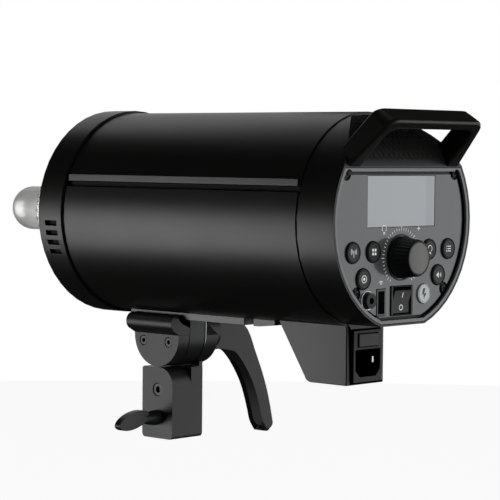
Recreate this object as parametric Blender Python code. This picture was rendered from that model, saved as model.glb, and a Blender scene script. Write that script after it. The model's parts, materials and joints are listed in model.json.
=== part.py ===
"""Monolight studio strobe with its tilting stand bracket.

Metres, +Z up. The lamp shines along -Y and its control panel faces +Y.
The origin is the centre of the stand socket's mouth, on the bottom face of the stand block.
"""
import bpy
import bmesh
from math import asin, atan2, cos, degrees, pi, radians, sin, sqrt
from mathutils import Matrix, Vector

# Gaps and clearances
face_gap = 0.0003
slide_gap = 0.0003
hole_gap = 0.0003
skin = 0.0001            # sets a face just inside its neighbour's
join_overlap = 0.0005    # shared by two solids that are united
cut_past = 0.0010        # how far a cutter runs past a face

# Lamp housing
tube_radius = 0.0640
tube_length = 0.19485
tube_front = -0.03425
shell_wall = 0.0022
split_height = 0.0170
side_slot_height = 0.0035
side_strip_depth = 0.0016
side_strip_thickness = 0.0030
under_vent_angles = (-71.5, -108.5)
under_vent_count = 3
under_vent_pitch = 0.0125
under_vent_from_rear = 0.0471
under_vent_length = 0.0105
under_vent_width = 0.0030

# Front ring and accessory mount
ring_step = 0.0016
ring_depth = 0.02235
ring_wall = 0.0030
ring_lip_width = 0.0086
ring_bevel = 0.0006
ring_vent_first = 5.7
ring_vent_pitch = 5.55
ring_vent_count = 4
ring_vent_size = (0.0104, 0.0030)
ring_vent_from_front = 0.0117
mount_thickness = 0.0020
mount_bore = 0.0460
mount_notch = (0.0120, 0.0060)
mount_notch_angles = (90, 210, 330)
mount_tab_room = 0.0045
reflector_thickness = 0.0010
tube_base_clearance = 0.0030
tube_base_thickness = 0.0080
latch_travel = 0.0040
latch_rear_margin = 0.0053
latch_size = (0.0070, 0.0100, 0.0025)
latch_angle = 210.0

# Flash tube and modelling lamp, with their reach in front of the ring
flash_ring_radius = 0.0300
flash_tube_radius = 0.0040
flash_ring_reach = 0.0359
flash_leg_spacing = 0.0140
flash_leg_bend = 0.0060
socket_radius = 0.0170
socket_reach = 0.0154
socket_floor = 0.0040
bulb_radius = 0.0147
bulb_cap_radius = 0.0132
bulb_reach = 0.0931
bulb_shoulder = 0.0020

# Rear cap, with its heights over the lamp axis
cap_step = 0.0006
cap_length = 0.0280
cap_top = 0.0325
cap_flat = 0.0033
cap_crown_drop = 0.0019
cap_slope_radius = 0.0431
cap_wall = 0.0022
vent_half_width = 0.0260
vent_front_margin = 0.0105
vent_rear_margin = 0.0179
vent_thickness = 0.0010
vent_depth = 0.0004

# Panel in the rear cap
panel_seat_wall = 0.0011
panel_seat_depth = 0.0064
rim_width = 0.0020
rim_height = 0.0017
plate_thickness = 0.0026
panel_recess = 0.0020
panel_face_thickness = 0.0009
panel_face_inset = 0.0052
upper_screw_drop = 0.0046
lower_screw_angle = -44.9
panel_screw_inset = 0.0062
screw_head_radius = 0.0022
screw_head_height = 0.0013
screw_notch = 0.0018

# Handle
handle_thickness = 0.0140
handle_length = 0.0368
handle_foot_inset = 0.0004
handle_foot_drop = 0.0005
handle_root = 0.0040
handle_top_half = 0.0442
handle_opening_half = 0.0396
handle_opening_top = 0.0287
handle_taper = 0.0038
handle_corner = 0.0060

# Controls: places on the panel are (x, height over the lamp axis)
lcd_size = (0.0620, 0.0294)
lcd_rise = 0.0119
knob_rise = -0.0207
knob_radius = 0.0123
knob_top_radius = 0.0101
knob_length = 0.0135
knob_bevel = (0.0008, 0.0005)
knob_shaft_radius = 0.0030
knob_shaft_tail = 0.0040
button_radius = 0.0062
button_proud = 0.0012
button_tail = 0.0015
button_bevel = 0.0004
button_travel = 0.0008
outer_button_inset = 0.0162
outer_button_angles = (-20.9, -42.8)
inner_button_offset = (0.0259, -0.0168)
test_button_radius = 0.0058
test_button_offset = (-0.0210, -0.0427)
switch_offset = (-0.0005, -0.0458)
switch_frame_size = (0.0200, 0.0170)
switch_opening_size = (0.0166, 0.0160)
switch_frame_proud = 0.0008
switch_depth = 0.0060
rocker_half_height = 0.0069
rocker_pivot_depth = 0.0030
rocker_swing = 0.30
rocker_proud = 0.0009
rocker_hollow = 0.0010
rocker_shoulder = 0.0015
rocker_tail = (0.0025, 0.0030)
usb_offset = (0.0182, -0.0462)
usb_size = (0.0080, 0.0155)
usb_opening = (0.0056, 0.0130)
usb_proud = 0.0004
usb_depth = 0.0090
jack_offset = (0.0300, -0.0445)
jack_radius = 0.0045
jack_bore = 0.0018
jack_proud = 0.0030
jack_depth = 0.0060
socket_wall = 0.0010
board_thickness = 0.0016
board_clearance = 0.0015
board_half_width = 0.0480
board_top_rise = 0.0260
board_corner = 0.0040

# Mains inlet: heights are over the bottom of its box
inlet_half_width = 0.01715
inlet_drop = 0.0328
inlet_length_top = 0.0534
inlet_length_bottom = 0.0331
inlet_corner = 0.0050
inlet_module_half = 0.01315
inlet_module_proud = 0.0020
inlet_module_depth = 0.0220
inlet_module_base = 0.0015
inlet_module_height = 0.0308
mains_opening_size = (0.0226, 0.0160)
mains_opening_rise = 0.0128
mains_opening_chamfer = 0.0040
mains_opening_depth = 0.0170
fuse_size = (0.0180, 0.0076)
fuse_rise = 0.0264
fuse_proud = 0.0008
fuse_travel = 0.0120
fuse_engaged = 0.0047
pin_size = (0.0020, 0.0040)
pin_length = 0.0150
pin_spacing = 0.0070
pin_rise = 0.0015
earth_pin_drop = 0.0040

# Tilt joint and balance rail
tilt_height = 0.0662
joint_radius = 0.0200
rail_rise = 0.0112
rail_stand_off = 0.0026
rail_half_width = 0.0140
rail_height = 0.0070
rail_front = -0.0240
rail_inlet_gap = 0.0062
rail_lip = 0.0020
rail_cavity = 0.0030
rail_neck_half = 0.0036
rail_head_half = 0.0066
rail_notch_from_rear = (0.0253, 0.0177)
rail_notch_height = 0.0041
rail_taper = 0.0015
rail_taper_length = 0.0230

# Tilt bracket
bracket_near = 0.0047
bracket_far = -0.0093
jaw_thickness = 0.0095
jaw_overlap = 0.0004
jaw_bar_radius = 0.0057
jaw_bar_offset = (0.0023, -0.00265)
jaw_lip_rise = 0.0028
jaw_lip_drop = 0.0005
jaw_relief = (0.0030, 0.0028)
jaw_relief_foot = 0.0055
jaw_cheek_rise = 0.0030
jaw_bar_root = 0.0010
tenon_half_length = 0.0180
jaw_screw_places = ((-0.0120, -0.0039), (0.0105, -0.0039))
jaw_screw_head = (0.0030, 0.0032)
jaw_screw_socket = (0.0013, 0.0014)
washer_proud = 0.0002
washer_thickness = 0.0008
bolt_radius = 0.0040
bolt_head = (0.0070, 0.0050)
tilt_down = radians(80.0)
tilt_up = radians(33.0)

# Stand block
block_half_width = 0.0135
block_half_depth = 0.0136
block_far = -0.0139
block_step = -0.0040
block_corner = 0.0114
block_low_corner = 0.0025
block_chamfer = 0.0010
riser_root = 0.0080
ear_thickness = 0.0110
ear_riser = 0.0032
gusset_half = 0.0080
gusset_inset = 0.0010
gusset_rises = (-0.0090, 0.0030, 0.0120)
socket_bore = 0.0080
bush_wall = 0.0010
socket_depth = 0.0360
thumb_height = 0.0134
thumb_thread_radius = 0.0030
thumb_neck = ((0.0000, 0.0048), (0.0030, 0.0048), (0.0080, 0.0040), (0.0160, 0.0022))
thumb_blade = (0.0133, 0.0053, 0.0050)
thumb_blade_offset = 0.0221
thumb_blade_slant = radians(-13.2)
cross_screw_height = 0.0312
cross_screw_radius = 0.0040
cross_screw_socket = (0.0020, 0.0018)
cross_screw_inset = 0.0006
cross_screw_floor = 0.0010

# Tilt lever: its spine as (x from the ear's far face, height over the tilt axis, half width)
lever_half_depth = 0.0062
lever_hub_radius = 0.0120
lever_hub_length = 0.0120
lever_hub_bevel = 0.0010
lever_nut_wall = 0.0028
lever_nut_depth = 0.0130
bolt_engaged = 0.0120
lever_spine = (
    (-0.0083, 0.0000, 0.0118),
    (-0.0183, -0.0004, 0.0114),
    (-0.0283, -0.0027, 0.0108),
    (-0.0363, -0.0072, 0.0094),
    (-0.0442, -0.0181, 0.0069),
    (-0.0530, -0.0332, 0.0055),
    (-0.0593, -0.0492, 0.0051),
    (-0.0639, -0.0660, 0.0048),
)

# Inner works
capacitor_radius = 0.0175
capacitor_length = 0.0800
capacitor_front = 0.0143
capacitor_offset = (0.0200, 0.0150)
power_board_half_width = 0.0440
power_board_drop = 0.0300
power_board_front = 0.0363
power_board_fan_gap = 0.0080
fan_from_rear = 0.0326
fan_half = 0.0300
fan_depth = 0.0120
fan_bore = 0.0280
fan_tip_gap = 0.0020
fan_side_gap = 0.0015
fan_hub_radius = 0.0120
fan_blades = 7

# Places that follow from the sizes above
rail_bottom = tilt_height + rail_rise
rail_top = rail_bottom + rail_height
tube_bottom = rail_bottom + rail_stand_off
lamp_axis_height = tube_bottom + tube_radius
lamp_axis = (0.0, 0.0, lamp_axis_height)
tube_rear = tube_front + tube_length
upper_height = split_height + side_slot_height
ring_radius = tube_radius + ring_step
ring_front = tube_front - ring_depth
mount_front = ring_front + ring_wall + face_gap
cap_radius = tube_radius - cap_step
cap_rear = tube_rear + cap_length
cap_bottom = cap_flat - cap_radius
inlet_bottom = tube_bottom - inlet_drop
inlet_front_top = tube_rear - inlet_length_top
rail_rear = inlet_front_top - rail_inlet_gap
jaw_face = bracket_near + face_gap + jaw_thickness
ear_near = bracket_far - washer_thickness - 2 * face_gap
ear_far = ear_near - ear_thickness
ear_top_radius = rail_rise - 2 * face_gap
block_top = tilt_height - joint_radius - 2 * face_gap
panel_front = cap_rear - panel_recess
plate_front = panel_front - panel_face_thickness - face_gap
plate_back = plate_front - plate_thickness
fan_front = tube_rear - fan_from_rear


def on_panel(offset):
    return offset[0], lamp_axis_height + offset[1]


def around_panel(inset, angle):
    """A place on the panel at an inset from the cap's radius, at an angle from +X in degrees."""
    reach = cap_radius - inset
    return on_panel((reach * cos(radians(angle)), reach * sin(radians(angle))))


lcd_height = lamp_axis_height + lcd_rise
knob_height = lamp_axis_height + knob_rise
button_places = {}
for upper_name, lower_name, inner_name, side in (("button_antenna", "button_slave", "button_group", 1),
                                                 ("button_function", "button_sound", "button_lamp", -1)):
    for name, angle in zip((upper_name, lower_name), outer_button_angles):
        x, z = around_panel(outer_button_inset, angle)
        button_places[name] = (side * x, z)
    x, z = on_panel(inner_button_offset)
    button_places[inner_name] = (side * x, z)
test_button_place = on_panel(test_button_offset)
switch_place = on_panel(switch_offset)
usb_place = on_panel(usb_offset)
jack_place = on_panel(jack_offset)
upper_screw_height = cap_top - upper_screw_drop
upper_screw_across = sqrt((cap_radius - panel_screw_inset) ** 2 - upper_screw_height ** 2)
panel_screw_places = [(side * x, z) for x, z in (on_panel((upper_screw_across, upper_screw_height)),
                                                 around_panel(panel_screw_inset, lower_screw_angle))
                      for side in (1, -1)]


def slope_centre():
    """Centre of the arc from the panel's top edge to the cap's crown, as (y from the rear, height)."""
    rear = Vector((0.0, cap_top))
    crown = Vector((-cap_length, cap_radius - cap_crown_drop))
    chord = crown - rear
    depth = sqrt(cap_slope_radius ** 2 - (chord.length / 2) ** 2)
    return (rear + crown) / 2 + Vector((-chord.y, chord.x)).normalized() * depth


cap_slope_centre = slope_centre()
slope_crown_angle = degrees(atan2(cap_radius - cap_crown_drop - cap_slope_centre[1],
                                  -cap_length - cap_slope_centre[0]))
slope_rear_angle = degrees(atan2(cap_top - cap_slope_centre[1], -cap_slope_centre[0]))
vent_angles = (slope_crown_angle - degrees(vent_front_margin / cap_slope_radius),
               slope_rear_angle + degrees(vent_rear_margin / cap_slope_radius))


def clear_scene():
    for thing in list(bpy.data.objects):
        bpy.data.objects.remove(thing, do_unlink=True)


def finish(name, colour, roughness, metallic=0.0):
    material = bpy.data.materials.new(name)
    material.use_nodes = True
    shader = material.node_tree.nodes["Principled BSDF"]
    shader.inputs["Base Color"].default_value = (*colour, 1.0)
    shader.inputs["Roughness"].default_value = roughness
    shader.inputs["Metallic"].default_value = metallic
    material.diffuse_color = (*colour, 1.0)
    return material


def pivot_empty(name, place, parent=None):
    empty = bpy.data.objects.new(name, None)
    bpy.context.scene.collection.objects.link(empty)
    empty["place"] = place
    empty.parent = parent
    empty.location = Vector(place) - (Vector(parent["place"]) if parent else Vector())
    return empty


def make_part(name, shape, material, parent=None, pivot=None):
    """Turns a bmesh in world coordinates into an object whose origin is the pivot."""
    pivot = Vector(pivot if pivot else (parent["place"] if parent else (0.0, 0.0, 0.0)))
    bmesh.ops.recalc_face_normals(shape, faces=shape.faces)
    bmesh.ops.translate(shape, vec=-pivot, verts=shape.verts)
    mesh = bpy.data.meshes.new(name)
    shape.to_mesh(mesh)
    shape.free()
    mesh.shade_smooth()
    mesh.set_sharp_from_angle(angle=radians(35.0))
    mesh.materials.append(material)
    part = bpy.data.objects.new(name, mesh)
    bpy.context.scene.collection.objects.link(part)
    part.parent = parent
    part.location = pivot - (Vector(parent["place"]) if parent else Vector())
    return part


def combine(part, shape, operation="DIFFERENCE"):
    """Adds a hidden tool in world coordinates to the part's Boolean modifiers."""
    bmesh.ops.recalc_face_normals(shape, faces=shape.faces)
    tool_name = f"tool_{part.name}_{len(part.modifiers)}"
    mesh = bpy.data.meshes.new(tool_name)
    shape.to_mesh(mesh)
    shape.free()
    tool = bpy.data.objects.new(tool_name, mesh)
    bpy.context.scene.collection.objects.link(tool)
    tool.hide_render = True
    tool.display_type = "WIRE"
    modifier = part.modifiers.new(tool_name, "BOOLEAN")
    modifier.operation = operation
    modifier.object = tool


def merged(*shapes):
    """Joins several closed shapes into one bmesh, as separate bodies."""
    result = bmesh.new()
    for shape in shapes:
        mesh = bpy.data.meshes.new("scrap")
        bmesh.ops.recalc_face_normals(shape, faces=shape.faces)
        shape.to_mesh(mesh)
        shape.free()
        result.from_mesh(mesh)
        bpy.data.meshes.remove(mesh)
    return result


def lay_point(axis, first, second, along):
    """Places an outline point: (y, z) across X, (x, z) across Y or (x, y) across Z."""
    if axis == "X":
        return Vector((along, first, second))
    if axis == "Y":
        return Vector((first, along, second))
    return Vector((first, second, along))


def prism(axis, outline, start, end):
    shape = bmesh.new()
    corners = [shape.verts.new(lay_point(axis, a, b, start)) for a, b in outline]
    face = shape.faces.new(corners)
    moved = bmesh.ops.extrude_face_region(shape, geom=[face])
    verts = [item for item in moved["geom"] if isinstance(item, bmesh.types.BMVert)]
    bmesh.ops.translate(shape, vec=lay_point(axis, 0.0, 0.0, end - start), verts=verts)
    bmesh.ops.recalc_face_normals(shape, faces=shape.faces)
    return shape


def ring_prism(axis, outer, inner, start, end):
    """A band between two outlines that have the same number of points."""
    return loft([[lay_point(axis, a, b, along) for a, b in line]
                 for line, along in ((outer, start), (outer, end), (inner, end), (inner, start))])


def loft(loops):
    """Joins loops of equal length into a closed band: the last one meets the first."""
    shape = bmesh.new()
    rows = [[shape.verts.new(point) for point in loop] for loop in loops]
    count = len(rows[0])
    for row, other in zip(rows, rows[1:] + rows[:1]):
        for index in range(count):
            after = (index + 1) % count
            shape.faces.new((row[index], row[after], other[after], other[index]))
    bmesh.ops.recalc_face_normals(shape, faces=shape.faces)
    return shape


def block(low, high):
    size = Vector(high) - Vector(low)
    centre = (Vector(high) + Vector(low)) / 2
    shape = bmesh.new()
    place = Matrix.Translation(centre) @ Matrix.Diagonal((*size, 1.0))
    bmesh.ops.create_cube(shape, size=1.0, matrix=place)
    return shape


def turned(axis, profile, centre, steps=32):
    """Spins a profile of (distance along the axis, radius) points about an axis."""
    shape = bmesh.new()
    verts = [shape.verts.new((radius, 0.0, along)) for along, radius in profile]
    edges = [shape.edges.new(pair) for pair in zip(verts, verts[1:])]
    if min(radius for _, radius in profile) > 0.0:
        edges.append(shape.edges.new((verts[-1], verts[0])))
    bmesh.ops.spin(shape, geom=verts + edges, cent=(0, 0, 0), axis=(0, 0, 1),
                   angle=2 * pi, steps=steps, use_merge=True)
    bmesh.ops.remove_doubles(shape, verts=shape.verts, dist=1e-6)
    turn = {"X": Matrix.Rotation(pi / 2, 4, "Y"), "Y": Matrix.Rotation(-pi / 2, 4, "X"), "Z": Matrix()}[axis]
    bmesh.ops.transform(shape, matrix=Matrix.Translation(centre) @ turn, verts=shape.verts)
    bmesh.ops.recalc_face_normals(shape, faces=shape.faces)
    return shape


def rod(axis, start, end, radius, centre, steps=32):
    return turned(axis, [(start, 0.0), (start, radius), (end, radius), (end, 0.0)], centre, steps)


def pipe(axis, start, end, outer, inner, centre, steps=32):
    return turned(axis, [(start, outer), (end, outer), (end, inner), (start, inner)], centre, steps)


def arc(centre, radius, start, end, steps):
    """Points on an arc, with its angles in degrees."""
    angles = [radians(start + (end - start) * step / steps) for step in range(steps + 1)]
    return [(centre[0] + radius * cos(angle), centre[1] + radius * sin(angle)) for angle in angles]


def rounded_box(left, right, low, high, radius, steps=4):
    outline = []
    corners = ((right - radius, high - radius, 0), (left + radius, high - radius, 90),
               (left + radius, low + radius, 180), (right - radius, low + radius, 270))
    for across, up, start in corners:
        outline += arc((across, up), radius, start, start + 90, steps)
    return outline


def smooth_line(points, steps):
    """A Catmull-Rom curve through points that may carry any number of values."""
    line = []
    padded = [points[0], *points, points[-1]]
    for p0, p1, p2, p3 in zip(padded, padded[1:], padded[2:], padded[3:]):
        for step in range(steps):
            t = step / steps
            line.append(tuple(0.5 * (2 * b + (c - a) * t + (2 * a - 5 * b + 4 * c - d) * t * t
                                     + (3 * b - a - 3 * c + d) * t ** 3)
                              for a, b, c, d in zip(p0, p1, p2, p3)))
    line.append(tuple(points[-1]))
    return line


def around(radius, low, high, steps):
    """Arc about the lamp axis, as (x, z), with its angles in degrees."""
    return arc((0.0, lamp_axis_height), radius, low, high, steps)


def shell_angle(height, radius):
    return degrees(asin(height / radius))


def lower_shell(finishes, lamp):
    inner_radius = tube_radius - shell_wall
    outer_start = 180 - shell_angle(split_height, tube_radius)
    outer_end = 360 + shell_angle(split_height, tube_radius)
    inner_start = 180 - shell_angle(split_height, inner_radius)
    inner_end = 360 + shell_angle(split_height, inner_radius)
    outline = around(tube_radius, outer_start, outer_end, 40)
    outline += around(inner_radius, inner_end, inner_start, 40)
    shell = make_part("lower_shell", prism("Y", outline, tube_front, tube_rear), finishes["black"], lamp)
    gap = hole_gap
    rail_slot = block((-rail_half_width - gap, rail_front - gap, tube_bottom - 2 * cut_past),
                      (rail_half_width + gap, rail_rear + gap, rail_top + 3 * cut_past))
    inlet_slot = block((-inlet_half_width - gap, inlet_front_top - gap, tube_bottom - 2 * cut_past),
                       (inlet_half_width + gap, tube_rear + 2 * cut_past, tube_bottom + 0.014))
    combine(shell, merged(rail_slot, inlet_slot))
    vents = []
    for angle in under_vent_angles:
        for index in range(under_vent_count):
            start = tube_rear - under_vent_from_rear + index * under_vent_pitch
            vents.append(radial_slot(angle, tube_radius, start, start + under_vent_length, under_vent_width))
    combine(shell, merged(*vents))


def radial_slot(angle, radius, start, end, width):
    """A slot cutter that crosses a wall about the lamp axis at an angle from +X, in degrees."""
    slot = block((radius - 0.005, start, -width / 2), (radius + 0.004, end, width / 2))
    place = Matrix.Translation(lamp_axis) @ Matrix.Rotation(radians(-angle), 4, "Y")
    bmesh.ops.transform(slot, matrix=place, verts=slot.verts)
    return slot


def upper_shell(finishes, lamp):
    inner_radius = tube_radius - shell_wall
    low = shell_angle(upper_height, tube_radius)
    inner_low = shell_angle(upper_height, inner_radius)
    outline = around(tube_radius, low, 180 - low, 36)
    outline += around(inner_radius, 180 - inner_low, inner_low, 36)
    make_part("upper_shell", prism("Y", outline, tube_front, tube_rear), finishes["black"], lamp)


def side_strips(finishes, lamp):
    """Dark strips that close the slots between the two shells, set back from the surface."""
    low = lamp_axis_height + split_height + face_gap
    high = lamp_axis_height + upper_height - face_gap
    outer = sqrt(tube_radius ** 2 - upper_height ** 2) - side_strip_depth
    for side, name in ((1, "side_strip_left"), (-1, "side_strip_right")):
        across = sorted((side * outer, side * (outer - side_strip_thickness)))
        strip = block((across[0], tube_front, low), (across[1], tube_rear, high))
        make_part(name, strip, finishes["dark"], lamp)


def front_ring(finishes, lamp):
    back = tube_front - face_gap
    lip = ring_front + ring_wall
    inner = ring_radius - ring_wall
    lip_radius = ring_radius - ring_lip_width
    profile = [(back, ring_radius - ring_bevel), (back - ring_bevel, ring_radius),
               (ring_front + ring_bevel, ring_radius), (ring_front, ring_radius - ring_bevel),
               (ring_front, lip_radius), (lip, lip_radius), (lip, inner), (back, inner)]
    ring = make_part("front_ring", turned("Y", profile, lamp_axis, 48), finishes["black"], lamp)
    length, width = ring_vent_size
    start = ring_front + ring_vent_from_front - length / 2
    slots = []
    for index in range(ring_vent_count):
        angle = ring_vent_first + index * ring_vent_pitch
        for turn in (-angle, 180 + angle):
            slots.append(radial_slot(turn, ring_radius, start, start + length, width))
    combine(ring, merged(*slots))


def accessory_mount(finishes, lamp):
    """The bayonet ring that soft boxes and reflectors lock into, and its release latch."""
    front = mount_front
    outer = ring_radius - ring_wall - face_gap
    ring = pipe("Y", front, front + mount_thickness, outer, mount_bore, lamp_axis, 48)
    mount = make_part("bayonet_ring", ring, finishes["steel"], lamp)
    width, depth = mount_notch
    notches = []
    for turn in mount_notch_angles:
        notch = block((mount_bore - 2 * cut_past, front - cut_past, -width / 2),
                      (mount_bore + depth, front + mount_thickness + cut_past, width / 2))
        place = Matrix.Translation(lamp_axis) @ Matrix.Rotation(radians(-turn), 4, "Y")
        bmesh.ops.transform(notch, matrix=place, verts=notch.verts)
        notches.append(notch)
    combine(mount, merged(*notches))


def release_latch(finishes, lamp):
    """A sliding button on the far lower side of the front ring."""
    across, along, height = latch_size
    turn = radians(latch_angle)
    start = tube_front - latch_rear_margin - latch_travel - along
    low = (ring_radius + face_gap, start, -across / 2)
    latch = block(low, (ring_radius + face_gap + height, start + along, across / 2))
    place = Matrix.Translation(lamp_axis) @ Matrix.Rotation(-turn, 4, "Y")
    bmesh.ops.transform(latch, matrix=place, verts=latch.verts)
    pivot = (ring_radius * cos(turn), start + along / 2, lamp_axis_height + ring_radius * sin(turn))
    make_part("release_latch", latch, finishes["grey"], lamp, pivot)


def flash_head(finishes, lamp):
    """Reflector plate, ceramic base, lamp holder, ring flash tube and modelling lamp."""
    mirror_front = mount_front + mount_thickness + mount_tab_room
    hole = socket_radius + hole_gap
    plate = pipe("Y", mirror_front, mirror_front + reflector_thickness,
                 ring_radius - ring_wall - face_gap, hole, lamp_axis, 32)
    make_part("reflector_plate", plate, finishes["silver"], lamp)
    base_back = mirror_front - face_gap
    base_front = base_back - tube_base_thickness
    base = make_part("tube_base", pipe("Y", base_front, base_back, mount_bore - tube_base_clearance, hole,
                                       lamp_axis, 32), finishes["ceramic"], lamp)
    leg_drop = sqrt(flash_ring_radius ** 2 - (flash_leg_spacing / 2) ** 2)
    leg_hole = flash_tube_radius + hole_gap
    combine(base, merged(*[rod("Y", base_front - cut_past, base_back + cut_past, leg_hole,
                               (side * flash_leg_spacing / 2, 0.0, lamp_axis_height - leg_drop), 16)
                           for side in (1, -1)]))
    socket_back = mirror_front + socket_floor
    socket_front = ring_front - socket_reach
    socket = turned("Y", [(socket_back, 0.0), (socket_back, socket_radius), (socket_front, socket_radius),
                          (socket_front, bulb_cap_radius + hole_gap),
                          (mirror_front, bulb_cap_radius + hole_gap), (mirror_front, 0.0)],
                    lamp_axis, 32)
    make_part("lamp_socket", socket, finishes["ceramic"], lamp)
    cap_back = mirror_front - 2 * face_gap
    shoulder = socket_front - bulb_shoulder
    bulb_tip = ring_front - bulb_reach
    dome_centre = bulb_tip + bulb_radius
    bulb = [(cap_back, 0.0), (cap_back, bulb_cap_radius), (shoulder, bulb_cap_radius),
            (shoulder - (bulb_radius - bulb_cap_radius), bulb_radius)]
    bulb += [(dome_centre - along, radius) for radius, along in arc((0.0, 0.0), bulb_radius, 0, 90, 6)]
    bulb[-1] = (bulb_tip, 0.0)
    make_part("modelling_bulb", turned("Y", bulb, lamp_axis, 28), finishes["frosted"], lamp)
    flash_tube(finishes, lamp, base_back - 2 * face_gap, leg_drop)


def flash_tube(finishes, lamp, leg_back, leg_drop):
    """One glass tube: a leg, nearly a full ring about the modelling lamp, and the other leg."""
    ring_place = ring_front - flash_ring_reach
    gap_angle = asin(flash_leg_spacing / 2 / flash_ring_radius)
    foot = Vector((flash_leg_spacing / 2, leg_back, lamp_axis_height - leg_drop))
    points = [foot, foot + Vector((0, ring_place + flash_leg_bend - leg_back, 0))]
    steps = 32
    ring = []
    for step in range(steps + 1):
        angle = -pi / 2 + gap_angle + (2 * pi - 2 * gap_angle) * step / steps
        ring.append(Vector((flash_ring_radius * cos(angle), ring_place,
                            lamp_axis_height + flash_ring_radius * sin(angle))))
    mirror = Vector((-1, 1, 1))
    far = [point * mirror for point in reversed(points)]
    route = points + ring[2:-2] + far
    curve = bpy.data.curves.new("flash_tube", "CURVE")
    curve.dimensions = "3D"
    curve.bevel_depth = flash_tube_radius
    curve.bevel_resolution = 2
    curve.use_fill_caps = True
    spline = curve.splines.new("POLY")
    spline.points.add(len(route) - 1)
    for spot, point in zip(spline.points, route):
        spot.co = (*point, 1.0)
    curve.materials.append(finishes["glass"])
    tube = bpy.data.objects.new("flash_tube", curve)
    bpy.context.scene.collection.objects.link(tube)
    tube.parent = lamp
    tube.location = -Vector(lamp["place"])


def slope_height(along, inset=0.0):
    """Height of the cap's sloping top over the lamp axis, at a distance from its rear face."""
    reach = (cap_slope_radius - inset) ** 2 - (along - cap_slope_centre[0]) ** 2
    return cap_slope_centre[1] + sqrt(max(reach, 0.0))


def cap_outline(top, inset):
    """Round outline cut flat at its top and bottom, as (x, z)."""
    radius = cap_radius - inset
    low = shell_angle(cap_bottom + inset, radius)
    high = shell_angle(min(top, radius * 0.999), radius)
    right = around(radius, low, high, 14)
    left = around(radius, 180 - high, 180 - low, 14)
    return right + left


def cap_stations(start):
    """Distances from the cap's rear face at which its section changes."""
    steps = 8
    return [start] + [-cap_length * (steps - step) / steps for step in range(1, steps + 1)]


def rear_cap(finishes, lamp):
    stations = cap_stations(-cap_length + face_gap)
    outer = [(along, slope_height(along), 0.0) for along in stations]
    seat_top = cap_top - panel_seat_wall
    seat = [(0.0, seat_top, panel_seat_wall), (-panel_seat_depth, seat_top, panel_seat_wall)]
    deep = [(along, max(slope_height(along, cap_wall), cap_top - cap_wall), cap_wall)
            for along in reversed(stations) if along < -panel_seat_depth]
    deep.insert(0, (-panel_seat_depth, cap_top - cap_wall, cap_wall))
    loops = []
    for along, top, inset in outer + seat + deep:
        loops.append([Vector((x, cap_rear + along, z)) for x, z in cap_outline(top, inset)])
    cap = make_part("rear_cap", loft(loops), finishes["black"], lamp)
    window = vent_outline(cap_wall, -3 * cap_wall, *vent_angles)
    combine(cap, prism("X", window, -vent_half_width, vent_half_width))


def vent_outline(outer, inner, start, end):
    """A curved strip that follows the cap's slope, as (y, z); offsets are from the slope."""
    centre = (cap_rear + cap_slope_centre[0], lamp_axis_height + cap_slope_centre[1])
    outline = arc(centre, cap_slope_radius + outer, start, end, 8)
    return outline + arc(centre, cap_slope_radius + inner, end, start, 8)


def vent_mesh(finishes, lamp):
    turn = degrees(hole_gap / cap_slope_radius)
    front, rear = vent_angles
    strip = vent_outline(-vent_depth, -vent_depth - vent_thickness, front - turn, rear + turn)
    half = vent_half_width - hole_gap
    make_part("vent_mesh", prism("X", strip, -half, half), finishes["dark"], lamp)


def handle_line(half_foot, half_top, length, corner):
    """Half outline of the loop, from its foot up to the middle, as (x, distance up the slope)."""
    start = length - corner
    points = [(half_foot, -handle_root), (half_top + (half_foot - half_top) * corner / length, start)]
    points += [(half_top - corner + corner * sin(radians(turn)), start + corner * cos(radians(turn)))
               for turn in (67, 45, 22, 0)]
    return points


def handle(finishes, lamp):
    """A slanted loop that rises rearward from the cap's top corners."""
    slope = Vector((0, cos(pi / 4), sin(pi / 4)))
    out = Vector((0, -sin(pi / 4), cos(pi / 4)))
    foot = Vector((0, cap_rear, lamp_axis_height + cap_top - handle_foot_drop))
    foot_half = sqrt(cap_radius ** 2 - cap_top ** 2) - handle_foot_inset
    front_top = cap_top + handle_thickness * sin(pi / 4)
    front_foot_half = sqrt(cap_radius ** 2 - front_top ** 2) - handle_foot_inset
    lines = []
    for depth, length, half in ((0.0, handle_length, foot_half),
                                (handle_thickness, handle_length - handle_taper, front_foot_half)):
        outer = handle_line(half, handle_top_half, length, handle_corner)
        inner = handle_line(handle_opening_half, handle_opening_half, handle_opening_top, handle_corner)
        line = outer + [(-x, s) for x, s in reversed(outer)]
        line += [(-x, s) for x, s in inner] + [(x, s) for x, s in reversed(inner)]
        lines.append([foot + Vector((x, 0, 0)) + slope * s + out * depth for x, s in line])
    shape = bmesh.new()
    rows = [[shape.verts.new(point) for point in line] for line in lines]
    shape.faces.new(rows[0])
    shape.faces.new(rows[1])
    count = len(rows[0])
    for index in range(count):
        after = (index + 1) % count
        shape.faces.new((rows[0][index], rows[0][after], rows[1][after], rows[1][index]))
    loop = make_part("handle", shape, finishes["black"], lamp)
    gap = 2 * face_gap
    loops = []
    for along in cap_stations(-cap_length - handle_root) + [gap]:
        top = slope_height(min(along, 0.0)) + gap
        loops.append([Vector((x, cap_rear + along, z)) for x, z in cap_outline(top, -gap)])
    combine(loop, solid_loft(loops))


def solid_loft(loops):
    """Joins loops of equal length into a solid with flat ends."""
    shape = bmesh.new()
    rows = [[shape.verts.new(point) for point in loop] for loop in loops]
    count = len(rows[0])
    for row, other in zip(rows, rows[1:]):
        for index in range(count):
            after = (index + 1) % count
            shape.faces.new((row[index], row[after], other[after], other[index]))
    shape.faces.new(rows[0])
    shape.faces.new(rows[-1])
    bmesh.ops.recalc_face_normals(shape, faces=shape.faces)
    return shape


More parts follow.
